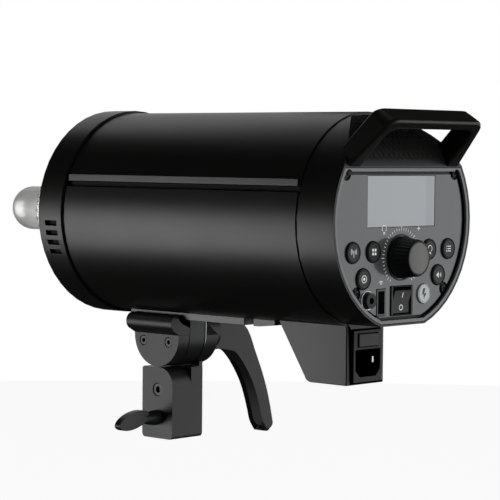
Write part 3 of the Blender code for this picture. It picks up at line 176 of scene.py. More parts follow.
def panelMaterial():
    # a clear-coated black gloss panel whose base colour is a dark grey, painted reflection of the pale
    # surroundings, with a faint smear of handling
    material, shader, tree = newMaterial("panelToneAndReflection")
    smear = noise(tree, 60.0, 4.0)
    link(tree, smear.blend((0.052, 0.057, 0.061), (0.058, 0.063, 0.067)), shader, "Base Color")
    link(tree, smear * 0.04 + 0.16, shader, "Roughness")
    shader.inputs["Coat Weight"].default_value = 0.6
    shader.inputs["Coat Roughness"].default_value = 0.06
    return material


def screenMaterial(stripStart):
    # a blank display: pale glass, a little darker in the strip down its far edge
    material, shader, tree = newMaterial("screenGlass")
    point = objectPoint(tree)
    across = tree.node("ShaderNodeSeparateXYZ", None, {0: point}, output="X")
    cloud = tree.node("ShaderNodeTexNoise", None, {"Vector": point, "Scale": 40.0, "Detail": 2.0})
    strip = (stripStart - across) * 1000.0
    strip = tree.node("ShaderNodeClamp", None, {"Value": strip})
    tone = strip * 0.8 + cloud * 0.2
    link(tree, tone.blend((0.375, 0.395, 0.415), (0.330, 0.350, 0.370)), shader, "Base Color")
    link(tree, cloud * 0.05 + 0.10, shader, "Roughness")
    return material


def frostedMaterial(middle, half):
    # etched glass, a little darker towards the dome
    material, shader, tree = newMaterial("frostedGlass")
    point = objectPoint(tree)
    etch = tree.node("ShaderNodeTexNoise", None, {"Vector": point, "Scale": 900.0, "Detail": 2.0})
    along = tree.node("ShaderNodeSeparateXYZ", None, {0: point}, output="Y")
    fade = tree.node("ShaderNodeClamp", None, {"Value": (along - (middle - half)) * (0.5 / half)})
    tone = fade * 0.7 + etch * 0.3
    link(tree, tone.blend((0.640, 0.640, 0.630), (0.690, 0.690, 0.680)), shader, "Base Color")
    link(tree, etch * 0.10 + 0.30, shader, "Roughness")
    shader.inputs["Transmission Weight"].default_value = 0.50
    shader.inputs["IOR"].default_value = 1.46
    return material


def clearGlassMaterial():
    material, shader, tree = newMaterial("flashGlass")
    haze = noise(tree, 160.0)
    link(tree, haze * 0.03 + 0.01, shader, "Roughness")
    shader.inputs["Base Color"].default_value = (0.93, 0.95, 0.95, 1.0)
    shader.inputs["Transmission Weight"].default_value = 1.0
    shader.inputs["IOR"].default_value = 1.46
    return material


def litButtonMaterial():
    material, shader, tree = newMaterial("litButton")
    milk = noise(tree, 500.0)
    link(tree, milk.blend((0.430, 0.470, 0.490), (0.500, 0.530, 0.540)), shader, "Base Color")
    link(tree, milk * 0.08 + 0.24, shader, "Roughness")
    return material


def inkMaterial():
    # printed marks: pale ink, a little uneven
    material, shader, tree = newMaterial("paleInk")
    speck = noise(tree, 2600.0)
    link(tree, speck.blend((0.800, 0.810, 0.810), (0.920, 0.930, 0.930)), shader, "Base Color")
    link(tree, speck * 0.10 + 0.45, shader, "Roughness")
    return material


glass = {"darkStrip": 0.0085, "tipDarkening": 0.030}
lampAxis = Vector((0.0, 0.0, (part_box("front_ring")[0].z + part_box("front_ring")[1].z) / 2))
bulbLow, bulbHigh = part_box("modelling_bulb")
materials = {name: grainMaterial(name, **values) for name, values in finishes.items()}
materials["panel_gloss"] = panelMaterial()
materials["screen_glass"] = screenMaterial(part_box("lcd_window")[0].x + glass["darkStrip"])
materials["frosted_glass"] = frostedMaterial(bulbLow.y + glass["tipDarkening"], glass["tipDarkening"])
materials["flash_glass"] = clearGlassMaterial()
materials["lit_button"] = litButtonMaterial()
ink = inkMaterial()
knobFace = grainMaterial("knobFace", (0.115, 0.115, 0.112), 0.34, 0.35, 0.0003, 0.000008, 0.08)
darkInk = grainMaterial("darkInk", (0.030, 0.032, 0.034), 0.45, 0.0, 0.0004, 0.000004, 0.10)
for name, node in nodes.items():
    node.data.materials.clear()
    node.data.materials.append(materials[slotOf[name]])
print("surfaces ready:", len(materials))


mesh = {"smoothAngle": 32.0, "sharpAngle": 27.0, "mergeDistance": 0.000004, "flatAngle": 0.4}


def addPiece(name, shape, material, body, slot=None, replaced=(), smoothAngle=None):
    bmesh.ops.remove_doubles(shape, verts=shape.verts, dist=mesh["mergeDistance"])
    bmesh.ops.recalc_face_normals(shape, faces=shape.faces)
    data = bpy.data.meshes.new(name)
    shape.to_mesh(data)
    shape.free()
    data.materials.append(material)
    data.shade_smooth()
    data.set_sharp_from_angle(angle=radians(smoothAngle or mesh["smoothAngle"]))
    piece = bpy.data.objects.new(name, data)
    bpy.context.scene.collection.objects.link(piece)
    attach(piece, body)
    if replaced:
        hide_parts(*replaced)
    return piece


def sharpEdges(shape, angle):
    return [edge for edge in shape.edges if edge.is_manifold and edge.calc_face_angle(0.0) > radians(angle)]


def easeEdges(shape, edges, width, segments):
    bmesh.ops.bevel(shape, geom=edges, offset=width, offset_type="OFFSET", affect="EDGES", segments=segments,
                    profile=0.5, material=-1, clamp_overlap=True)


def soften(shape, width, segments=2, angle=None):
    easeEdges(shape, sharpEdges(shape, angle or mesh["sharpAngle"]), width, segments)


def cadShape(name):
    # a merged copy of a CAD node, with its flat faces whole again
    shape = bmesh.new()
    shape.from_mesh(nodes[name].data)
    bmesh.ops.remove_doubles(shape, verts=shape.verts, dist=mesh["mergeDistance"])
    bmesh.ops.dissolve_limit(shape, angle_limit=radians(mesh["flatAngle"]), verts=shape.verts,
                             edges=shape.edges)
    return shape


def refine(name, width=0.00025, segments=2, angle=None, material=None):
    shape = cadShape(name)
    soften(shape, width, segments, angle)
    slot = slotOf[name]
    evenNormals(addPiece("fine_" + name, shape, material or materials[slot], bodyOf[name], slot, [name]))


def evenNormals(piece):
    # wide flat faces keep their own shading beside narrow eased edges
    even = piece.modifiers.new("evenNormals", "WEIGHTED_NORMAL")
    even.keep_sharp = True
    even.weight = 90


def turnProfile(profile, centre, steps):
    # spins (along, radius) points about the Y axis through centre
    shape = bmesh.new()
    verts = [shape.verts.new((radius, 0.0, along)) for along, radius in profile]
    edges = [shape.edges.new(pair) for pair in zip(verts, verts[1:])]
    bmesh.ops.spin(shape, geom=verts + edges, cent=(0, 0, 0), axis=(0, 0, 1), angle=2 * pi,
                   steps=steps, use_merge=True)
    bmesh.ops.remove_doubles(shape, verts=shape.verts, dist=mesh["mergeDistance"])
    turn = Matrix.Rotation(-pi / 2, 4, "X")
    bmesh.ops.transform(shape, matrix=Matrix.Translation(centre) @ turn, verts=shape.verts)
    return shape


def arcPoints(centre, radius, start, end, steps):
    angles = [radians(start + (end - start) * step / steps) for step in range(steps + 1)]
    return [(centre[0] + radius * cos(angle), centre[1] + radius * sin(angle)) for angle in angles]


def tube(name, route, radius, material, body, **extra):
    # a round wire or glass tube along a route, made a mesh at once
    curve = bpy.data.curves.new(name, "CURVE")
    curve.dimensions = "3D"
    curve.bevel_depth = radius
    curve.bevel_resolution = 5
    curve.use_fill_caps = True
    line = curve.splines.new("POLY")
    line.points.add(len(route) - 1)
    for spot, point in zip(line.points, route):
        spot.co = (*point, 1.0)
    holder = bpy.data.objects.new(name + "Line", curve)
    bpy.context.scene.collection.objects.link(holder)
    bpy.context.view_layer.update()
    shape = bmesh.new()
    evaluated = holder.evaluated_get(bpy.context.evaluated_depsgraph_get())
    shape.from_mesh(evaluated.to_mesh())
    bpy.data.objects.remove(holder)
    return addPiece(name, shape, material, body, smoothAngle=60.0, **extra)


easedEdges = {
    "lower_shell": 0.00035, "upper_shell": 0.00035,
    "front_ring": 0.00030, "bayonet_ring": 0.00020, "release_latch": 0.00060, "reflector_plate": 0.00020,
    "tube_base": 0.00050, "lamp_socket": 0.00060, "rear_cap": 0.00030, "panel_plate": 0.00010,
    "panel_face": 0.00012, "panel_rim": 0.00025, "lcd_window": 0.00012, "switch_frame": 0.00045,
    "power_rocker": 0.00050, "usb_socket": 0.00015, "sync_socket": 0.00030, "inlet_box": 0.00070,
    "inlet_module": 0.00030, "fuse_drawer": 0.00035, "pin_line": 0.00040, "pin_neutral": 0.00040,
    "pin_earth": 0.00040, "balance_rail": 0.00030, "tilt_bracket": 0.00060, "clamp_jaw": 0.00060,
    "friction_washer": 0.00020, "tilt_bolt": 0.00030, "stand_block": 0.00080, "socket_bush": 0.00025,
    "cross_screw": 0.00030, "jaw_screw_front": 0.00025, "jaw_screw_rear": 0.00025, "lever_nut": 0.00020,
    "vent_mesh": 0.00010,
}
for name, width in easedEdges.items():
    refine(name, width)
# the strips in the slot between the shells are black, made a matte near-black as painted shade of the groove
for name in ("side_strip_left", "side_strip_right"):
    refine(name, 0.00020, material=materials["paintedShadeBlack"])
refine("thumb_screw", 0.0010, 3, 35.0)
print("housing, panel and bracket pieces eased")

lever = {"ease": 0.0005, "tipEase": 0.0042, "tipHeight": 0.0070, "innerLean": 0.35, "channelRim": 0.0017,
         "channelDepth": 0.0022, "channelTop": 0.0480}


def tiltLever():
    # the inner side is cast with a channel, and the tip is rounded over
    shape = cadShape("tilt_lever")
    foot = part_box("tilt_lever")[0].z

    def isTip(edge):
        low = all(vert.co.z < foot + lever["tipHeight"] for vert in edge.verts)
        sides = [face for face in edge.link_faces if abs(face.normal.y) > 0.99]
        return low and len(sides) == 1 and any(face.normal.z < -0.5 for face in edge.link_faces)

    easeEdges(shape, [edge for edge in shape.edges if isTip(edge)], lever["tipEase"], 6)
    shape.normal_update()
    inner = [face for face in shape.faces if face.normal.x > lever["innerLean"] and abs(face.normal.y) < 0.3
             and face.calc_center_median().z < foot + lever["channelTop"]]
    bmesh.ops.inset_region(shape, faces=inner, thickness=lever["channelRim"], depth=-lever["channelDepth"],
                           use_boundary=True, use_even_offset=True)
    soften(shape, lever["ease"], 3, 40.0)
    piece = addPiece("channelled_lever", shape, materials[slotOf["tilt_lever"]], bodyOf["tilt_lever"],
                     slotOf["tilt_lever"], ["tilt_lever"])
    evenNormals(piece)
    print("lever channel faces:", len(inner))


tiltLever()

trim = {"height": 0.0042, "depth": 0.0011, "ease": 0.00025, "endGap": 0.0012}


def sideTrim(side, name):
    # a flat bar along the upper shell's edge, above the slot between the shells
    low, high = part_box("lower_shell")
    radius = (high.x - low.x) / 2
    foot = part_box("side_strip_" + name)[1].z + 0.0003
    across = sqrt(radius ** 2 - (foot - (low.z + radius)) ** 2)
    size = Vector((trim["depth"], high.y - low.y - 2 * trim["endGap"], trim["height"]))
    middle = Vector((side * (across - size.x / 2), (low.y + high.y) / 2, foot + size.z / 2))
    shape = bmesh.new()
    bmesh.ops.create_cube(shape, size=1.0, matrix=Matrix.Translation(middle) @ Matrix.Diagonal((*size, 1.0)))
    soften(shape, trim["ease"], 3, 60.0)
    evenNormals(addPiece("side_trim_" + name, shape, materials["black_paint"], "lamp", "black_paint"))


sideTrim(1, "left")
sideTrim(-1, "right")

# a fibre sheet lines the housing behind its lower vents, and a near-black sleeve inside the front ring is
# painted shade that keeps its vents dark
lining = {"sheetInset": 0.0027, "sheetThickness": 0.0004, "sheetStart": 0.060, "sheetEnd": 0.002,
          "fromDown": (14.0, 50.0), "sleeveInset": 0.0026, "sleeveThickness": 0.0005,
          "sleeveStart": 0.004, "sleeveEnd": 0.002}


def liningStrip(name, radius, thickness, start, end, fromAngle, toAngle, material, slot):
    # a curved sheet about the lamp's axis; angles run from straight down towards +X
    shape = bmesh.new()
    verts = [shape.verts.new(lampAxis + Vector((0.0, along, -radius))) for along in (start, end)]
    edge = shape.edges.new(verts)
    turn = Matrix.Rotation(radians(-fromAngle), 3, "Y")
    bmesh.ops.rotate(shape, verts=verts, cent=lampAxis, matrix=turn)
    sweep = toAngle - fromAngle
    full = sweep >= 360.0
    bmesh.ops.spin(shape, geom=verts + [edge], cent=lampAxis, axis=(0, -1, 0), angle=radians(sweep),
                   steps=96 if full else 12, use_merge=full)
    bmesh.ops.remove_doubles(shape, verts=shape.verts, dist=mesh["mergeDistance"])
    bmesh.ops.recalc_face_normals(shape, faces=shape.faces)
    bmesh.ops.solidify(shape, geom=shape.faces[:], thickness=thickness)
    addPiece(name, shape, material, "lamp", slot)


def linings():
    low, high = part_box("lower_shell")
    radius = (high.x - low.x) / 2 - lining["sheetInset"]
    near, far = lining["fromDown"]
    for side, name in ((1, "left"), (-1, "right")):
        angles = sorted((side * near, side * far))
        liningStrip("fibre_sheet_" + name, radius, lining["sheetThickness"], high.y - lining["sheetStart"],
                    high.y - lining["sheetEnd"], *angles, materials["fibreSheet"], "ceramic")
    # the sleeve inside the front ring is painted shade behind its vents
    low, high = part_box("front_ring")
    radius = (high.x - low.x) / 2 - lining["sleeveInset"]
    liningStrip("ring_shade_sleeve", radius, lining["sleeveThickness"], low.y + lining["sleeveStart"],
                high.y - lining["sleeveEnd"], 0.0, 360.0, materials["paintedShadeBlack"], "black_plastic")


linings()

# the carrying loop leans back at half a right angle, and its feet run into the cap
loop = {"thickness": 0.0140, "length": 0.0368, "topHalf": 0.0442, "openingHalf": 0.0396,
        "openingTop": 0.0287, "taper": 0.0038, "root": 0.0040, "outerCorner": 0.0095, "innerCorner": 0.0060,
        "rearEase": 0.0026, "otherEase": 0.0012, "frontFoot": 0.0470, "sideSlack": 0.0005,
        "planeSlack": 0.0001}


def halfOutline(footHalf, topHalf, length, corner):
    # from the foot up one side and round the corner, as (x, distance up the slope)
    lean = degrees(atan2(footHalf - topHalf, length))
    turn = [(footHalf, -loop["root"])]
    centre = (topHalf - corner + corner * radians(lean) / 2, length - corner)
    return turn + arcPoints(centre, corner, lean, 90.0, 8)


def carryingLoop():
    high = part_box("handle")[1]
    slope = Vector((0.0, sin(pi / 4), sin(pi / 4)))
    out = Vector((0.0, -sin(pi / 4), sin(pi / 4)))
    rise = (loop["length"] - loop["taper"] + loop["thickness"]) * sin(pi / 4)
    foot = Vector((0.0, high.y - loop["length"] * sin(pi / 4), high.z - rise))
    outer = halfOutline(high.x, loop["topHalf"], loop["length"], loop["outerCorner"])
    inner = halfOutline(loop["openingHalf"], loop["openingHalf"], loop["openingTop"], loop["innerCorner"])
    shape = bmesh.new()
    edges = []
    for line in (outer, inner):
        line = line + [(-x, along) for x, along in reversed(line)]
        verts = [shape.verts.new(foot + Vector((x, 0.0, 0.0)) + slope * along) for x, along in line]
        edges += [shape.edges.new(pair) for pair in zip(verts, verts[1:])]
    bmesh.ops.bridge_loops(shape, edges=edges)
    raised = bmesh.ops.extrude_face_region(shape, geom=shape.faces[:])
    for vert in raised["geom"]:
        if isinstance(vert, bmesh.types.BMVert):
            up = (vert.co - foot).dot(slope)
            past = max(0.0, up - loop["openingTop"])
            barHeight = loop["length"] - loop["openingTop"]
            vert.co += out * loop["thickness"] - slope * past * loop["taper"] / barHeight
            if abs(vert.co.x) > loop["openingHalf"] + 0.0002:
                # the sides lean in towards the front, where the cap's round wall stands
                lean = 1.0 - min(1.0, max(0.0, up / loop["length"]))
                vert.co.x *= 1.0 - (1.0 - loop["frontFoot"] / high.x) * lean
    bmesh.ops.recalc_face_normals(shape, faces=shape.faces)

    def isRearOuter(edge):
        middle = (edge.verts[0].co + edge.verts[1].co) / 2 - foot
        side = loop["openingHalf"] + loop["sideSlack"]
        beyond = middle.dot(slope) > loop["openingTop"] or abs(middle.x) > side
        return beyond and abs(middle.dot(out)) < loop["planeSlack"] and edge.calc_face_angle(0.0) > 1.0

    rear = [edge for edge in shape.edges if isRearOuter(edge)]
    easeEdges(shape, rear, loop["rearEase"], 5)
    soften(shape, loop["otherEase"], 3, 50.0)
    piece = addPiece("carrying_loop", shape, materials[slotOf["handle"]], bodyOf["handle"], slotOf["handle"],
                     ["handle"])
    evenNormals(piece)


carryingLoop()


bulb = {"wall": 0.0147, "neckRadius": 0.0132, "neckLength": 0.0030, "steps": 56}


def modellingBulb():
    tip, back = bulbLow.y, bulbHigh.y
    radius = bulb["wall"]
    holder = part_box("lamp_socket")[0].y
    profile = [(back, 0.0), (back, bulb["neckRadius"]), (holder - 0.0005, bulb["neckRadius"])]
    profile += [(holder - 0.0010, bulb["neckRadius"] + 0.0008), (holder - bulb["neckLength"], radius)]
    profile += [(tip + radius - along, across) for across, along in arcPoints((0, 0), radius, 0, 88, 14)]
    profile.append((tip, 0.0))
    shape = turnProfile(profile, lampAxis, steps=bulb["steps"])
    addPiece("frosted_envelope", shape, materials["frosted_glass"], "lamp", "frosted_glass",
             ["modelling_bulb"], smoothAngle=50.0)


flash = {"ringRadius": 0.0300, "tubeRadius": 0.0040, "legSpacing": 0.0140, "bend": 0.0060,
         "wireRadius": 0.00025, "wireTurns": 34}


def flashTube():
    low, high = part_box("flash_tube")
    ringPlace = low.y + flash["tubeRadius"]
    reach = flash["ringRadius"]
    half = flash["legSpacing"] / 2
    drop = sqrt(reach ** 2 - half ** 2)
    gap = atan2(half, drop)
    foot = Vector((half, high.y, lampAxis.z - drop))
    route = [foot, Vector((half, ringPlace + flash["bend"], foot.z))]
    steps = 96
    angles = [-pi / 2 + gap + (2 * pi - 2 * gap) * step / steps for step in range(6, steps - 5)]
    ring = [Vector((reach * cos(angle), ringPlace, lampAxis.z + reach * sin(angle))) for angle in angles]
    elbow = [route[1], Vector((half + 0.0004, ringPlace + 0.0022, foot.z)),
             Vector((half + 0.0020, ringPlace + 0.0004, foot.z + 0.0006))]
    near = route[:1] + elbow
    far = [Vector((-point.x, point.y, point.z)) for point in reversed(near)]
    tube("quartz_ring", near + ring + far, flash["tubeRadius"], materials["flash_glass"], "lamp",
         slot="flash_glass", replaced=["flash_tube"])
    wire = []
    perTurn = 8
    count = flash["wireTurns"] * perTurn
    for step in range(count + 1):
        angle = -pi / 2 + gap + 0.25 + (2 * pi - 2 * gap - 0.5) * step / count
        twist = 2 * pi * step / perTurn
        out = flash["tubeRadius"] + flash["wireRadius"] * 0.9
        wide = reach + out * cos(twist)
        wire.append((wide * cos(angle), ringPlace + out * sin(twist), lampAxis.z + wide * sin(angle)))
    tube("trigger_wire", wire, flash["wireRadius"], materials["steel"], "lamp", slot="steel")


modellingBulb()
flashTube()
print("lamp end done")


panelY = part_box("panel_face")[1].y
knobCentre = sum(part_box("power_knob"), Vector()) / 2
marks = {"lift": 0.00006, "depth": 0.00005}


def bar(shape, x, z, width, height, turn=0.0):
    place = Matrix.Translation((x, 0.0, z)) @ Matrix.Rotation(radians(turn), 4, "Y")
    place = place @ Matrix.Rotation(pi / 2, 4, "X") @ Matrix.Diagonal((width, height, 1.0, 1.0))
    bmesh.ops.create_grid(shape, x_segments=1, y_segments=1, size=0.5, matrix=place)


def arcMark(shape, x, z, radius, width, start=0.0, end=360.0, steps=28):
    # a flat curved stroke, with its angles in degrees from +X
    near, far = radius - width / 2, radius + width / 2
    inner = Vector((near * cos(radians(start)), 0.0, near * sin(radians(start))))
    outer = inner * (far / near)
    centre = Vector((x, 0.0, z))
    verts = [shape.verts.new(centre + inner), shape.verts.new(centre + outer)]
    edge = shape.edges.new(verts)
    bmesh.ops.spin(shape, geom=verts + [edge], cent=centre, axis=(0, -1, 0), angle=radians(end - start),
                   steps=steps, use_merge=end - start >= 360.0)


def disc(shape, x, z, radius):
    place = Matrix.Translation((x, 0.0, z)) @ Matrix.Rotation(pi / 2, 4, "X")
    bmesh.ops.create_circle(shape, cap_ends=True, segments=20, radius=radius, matrix=place)


def patch(shape, outline, x, z):
    shape.faces.new([shape.verts.new((x + across, 0.0, z + up)) for across, up in outline])


def faceRearward(shape):
    for face in shape.faces:
        face.normal_update()
        if face.normal.y < 0.0:
            face.normal_flip()


def printMarks(name, shape, y, body, material=None):
    faceRearward(shape)
    bmesh.ops.solidify(shape, geom=shape.faces[:], thickness=marks["depth"])
    bmesh.ops.translate(shape, vec=(0.0, y + marks["lift"], 0.0), verts=shape.verts)
    return addPiece(name, shape, material or ink, body)


# icons are drawn as seen from behind the lamp, where +X is on the left
def broadcastIcon(shape, x, z):
    disc(shape, x, z + 0.0006, 0.0005)
    bar(shape, x, z - 0.0012, 0.0005, 0.0030)
    for radius in (0.0014, 0.0024):
        for start in (-42, 138):
            arcMark(shape, x, z + 0.0006, radius, 0.0004, start, start + 84, 8)


def gridIcon(shape, x, z):
    for across in (-0.0011, 0.0011):
        for up in (-0.0011, 0.0011):
            bar(shape, x + across, z + up, 0.0015, 0.0015)


def sensorIcon(shape, x, z):
    arcMark(shape, x, z, 0.0021, 0.00045)
    disc(shape, x, z, 0.0009)


def lampIcon(shape, x, z):
    arcMark(shape, x, z + 0.0005, 0.0019, 0.00045, -52, 232, 20)
    for drop in (0.0017, 0.0025):
        bar(shape, x, z - drop, 0.0019, 0.00045)


def listIcon(shape, x, z):
    for up in (-0.0014, 0.0, 0.0014):
        bar(shape, x - 0.0004, z + up, 0.0030, 0.00050)
        disc(shape, x + 0.0020, z + up, 0.00035)


def soundIcon(shape, x, z):
    patch(shape, ((0.0022, -0.0007), (0.0022, 0.0007), (0.0013, 0.0007), (0.0001, 0.0019), (0.0001, -0.0019),
                  (0.0013, -0.0007)), x, z)
    for radius in (0.0010, 0.0019):
        arcMark(shape, x - 0.0003, z, radius, 0.0004, 138, 222, 8)


def boltIcon(shape, x, z):
    patch(shape, ((-0.0010, 0.0032), (0.0014, 0.0032), (0.0020, -0.0004), (0.0005, -0.0004)), x, z)
    patch(shape, ((0.0007, -0.0032), (-0.0020, 0.0004), (-0.0004, 0.0004), (0.0005, -0.0004)), x, z)


buttonLook = {"rim": 0.0008, "groove": 0.0004, "grooveDepth": 0.00045, "dish": 0.00018, "edge": 0.0003}
buttonIcons = {"button_antenna": broadcastIcon, "button_group": gridIcon, "button_slave": sensorIcon,
               "button_lamp": lampIcon, "button_function": listIcon, "button_sound": soundIcon,
               "test_button": boltIcon}


def pushButton(name, drawIcon):
    low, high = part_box(name)
    centre = Vector(((low.x + high.x) / 2, 0.0, (low.z + high.z) / 2))
    radius = (high.x - low.x) / 2
    top = high.y
    face = radius - buttonLook["rim"]
    edge, groove, dish = buttonLook["edge"], buttonLook["groove"], buttonLook["dish"]
    floor = top - buttonLook["grooveDepth"]
    profile = [(low.y, 0.0), (low.y, radius), (top - edge, radius), (top, radius - edge),
               (top, face + groove), (floor, face + 0.0001), (floor, face - 0.0001),
               (top - 0.00008, face - groove),
               (top - dish, face * 0.5), (top - dish * 1.15, 0.0)]
    shape = turnProfile(profile, centre, steps=40)
    slot = slotOf[name]
    addPiece("moulded_" + name, shape, materials[slot], bodyOf[name], slot, [name], smoothAngle=25.0)
    icon = bmesh.new()
    drawIcon(icon, centre.x, centre.z)
    darkFace = name != "test_button"
    printMarks("icon_" + name, icon, top - dish, bodyOf[name], ink if darkFace else darkInk)


for name, drawIcon in buttonIcons.items():
    pushButton(name, drawIcon)

knob = {"footRadius": 0.0123, "topRadius": 0.0101, "ridges": 30, "ridgeDepth": 0.00022,
        "collarRadius": 0.0136, "tickRadius": 0.0156, "tickLength": 0.0016, "tickWidth": 0.00032,
        "tickSpread": 285.0, "tickCount": 39}


def powerKnob():
    low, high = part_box("power_knob")
    foot = panelY + 0.0003
    centre = Vector((knobCentre.x, 0.0, knobCentre.z))
    wide, narrow = knob["footRadius"], knob["topRadius"]
    profile = [(low.y, 0.0), (low.y, 0.0030), (foot, 0.0030), (foot, wide), (foot + 0.0012, wide)]
    profile += [(foot + 0.0016, wide - 0.0004), (high.y - 0.0013, narrow + 0.0006)]
    profile += [(high.y - 0.0005, narrow + 0.0003), (high.y - 0.0001, narrow - 0.0003)]
    profile += [(high.y - 0.0001, narrow - 0.0008), (high.y - 0.0005, narrow - 0.0009)]
    profile.append((high.y - 0.0005, 0.0))
    steps = knob["ridges"] * 4
    shape = turnProfile(profile, centre, steps=steps)
    for vert in shape.verts:
        across, up = vert.co.x - centre.x, vert.co.z - centre.z
        reach = hypot(across, up)
        if foot + 0.0014 < vert.co.y < high.y - 0.0003 and reach > narrow:
            ridge = cos(atan2(up, across) * knob["ridges"]) * knob["ridgeDepth"] - knob["ridgeDepth"]
            vert.co.x += across / reach * ridge
            vert.co.z += up / reach * ridge
    addPiece("ridged_knob", shape, materials["knob_plastic"], "knob", "knob_plastic", ["power_knob"])
    radius = narrow - 0.0010
    cap = [(high.y - 0.0009, 0.0), (high.y - 0.0009, radius), (high.y - 0.00025, radius),
           (high.y - 0.00012, radius - 0.0003), (high.y - 0.00005, 0.0)]
    addPiece("knob_face", turnProfile(cap, centre, steps=64), knobFace, "knob", "knob_plastic")
    collar = [(panelY + 0.00002, knob["collarRadius"]), (panelY + 0.0006, knob["collarRadius"] - 0.0001),
              (panelY + 0.0006, wide + 0.0005), (panelY + 0.00002, wide + 0.0004),
              (panelY + 0.00002, knob["collarRadius"])]
    addPiece("knob_collar", turnProfile(collar, centre, steps=72), materials["black_plastic"], "lamp",
             "black_plastic")


def panelMarks():
    shape = bmesh.new()
    x, z = knobCentre.x, knobCentre.z
    for index in range(knob["tickCount"]):
        angle = 90.0 - knob["tickSpread"] / 2 + knob["tickSpread"] * index / (knob["tickCount"] - 1)
        long = index % 6 == 1
        length = knob["tickLength"] * (1.5 if long else 1.0)
        reach = knob["tickRadius"] + length / 2
        across, up = reach * cos(radians(angle)), reach * sin(radians(angle))
        bar(shape, x + across, z + up, length, knob["tickWidth"], -angle)
    lampIcon(shape, x + 0.0160, z + 0.0165)
    bar(shape, x - 0.0160, z + 0.0165, 0.0026, 0.0005)
    bar(shape, x - 0.0160, z + 0.0165, 0.0005, 0.0026)
    low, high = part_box("usb_socket")
    centre = (low.x + high.x) / 2
    for radius in (0.0008, 0.0016, 0.0024):
        arcMark(shape, centre, high.z + 0.0022, radius, 0.00035, 45, 135, 8)
    low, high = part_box("sync_socket")
    arcMark(shape, (low.x + high.x) / 2, (low.z + high.z) / 2, 0.0054, 0.0003)
    printMarks("panel_marks", shape, panelY, "lamp")


def rockerMarks():
    low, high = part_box("power_rocker")
    x = (low.x + high.x) / 2
    middle = (low.z + high.z) / 2
    top = bmesh.new()
    bar(top, x, middle + 0.0036, 0.0006, 0.0030)
    arcMark(top, x, middle - 0.0036, 0.0015, 0.0005)
    faceRearward(top)
    # the marks lie on the rocker's two faces, which lean towards its middle
    source = cadShape("power_rocker")
    spots = {}
    for face in source.faces:
        if face.normal.y > 0.8:
            spot = face.calc_center_median()
            spots["up" if spot.z > middle else "down"] = (spot, face.normal.copy())
    for vert in top.verts:
        spot, normal = spots["up" if vert.co.z > middle else "down"]
        vert.co.y = spot.y - (normal.z * (vert.co.z - spot.z)) / normal.y + marks["lift"] * 2
    source.free()
    bmesh.ops.solidify(top, geom=top.faces[:], thickness=marks["depth"])
    addPiece("rocker_marks", top, ink, "rocker")


screwLook = {"dome": 0.0004, "recess": 0.0010, "recessDepth": 0.0007}


def panelScrew(name):
    low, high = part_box(name)
    centre = Vector(((low.x + high.x) / 2, 0.0, (low.z + high.z) / 2))
    radius = (high.x - low.x) / 2
    top = high.y
    recess, floor = screwLook["recess"], top - screwLook["recessDepth"]
    profile = [(low.y, 0.0), (low.y, radius), (top - screwLook["dome"], radius),
               (top - 0.0001, radius * 0.75), (top, recess + 0.0001), (floor, recess * 0.8), (floor, 0.0)]
    addPiece("domed_" + name, turnProfile(profile, centre, steps=32), materials[slotOf[name]], "lamp",
             slotOf[name], [name])


powerKnob()
panelMarks()
rockerMarks()
for number in range(1, 5):
    panelScrew(f"panel_screw_{number}")
print("panel done")


honeycomb = {"pitch": 0.0046, "rib": 0.0009, "thickness": 0.0005, "halfWidth": 0.0370, "proud": 0.00012,
             "rearAngle": 22.0, "crownAngle": 66.0}


def slopeArc():
    # the slope's arc in (y, z), from three points read on the cap's middle section
    points = {}
    for vert in nodes["rear_cap"].data.vertices:
        if vert.co.z > lampAxis.z + 0.030 and abs(vert.co.x) < 0.050:
            key = round(vert.co.y, 4)
            points[key] = max(points.get(key, 0.0), vert.co.z)
    rows = sorted(points.items())
    rear = rows[-1]
    crown = rows[0]
    middle = min(rows, key=lambda row: abs(row[0] - (rear[0] + crown[0]) / 2))
    a, b, c = (Vector(point) for point in (rear, middle, crown))
    # centre of the circle through three points
    turn = 2 * (a.x * (b.y - c.y) + b.x * (c.y - a.y) + c.x * (a.y - b.y))
    reachA, reachB, reachC = a.length_squared, b.length_squared, c.length_squared
    x = (reachA * (b.y - c.y) + reachB * (c.y - a.y) + reachC * (a.y - b.y)) / turn
    y = (reachA * (c.x - b.x) + reachB * (a.x - c.x) + reachC * (b.x - a.x)) / turn
    return Vector((x, y)), (a - Vector((x, y))).length


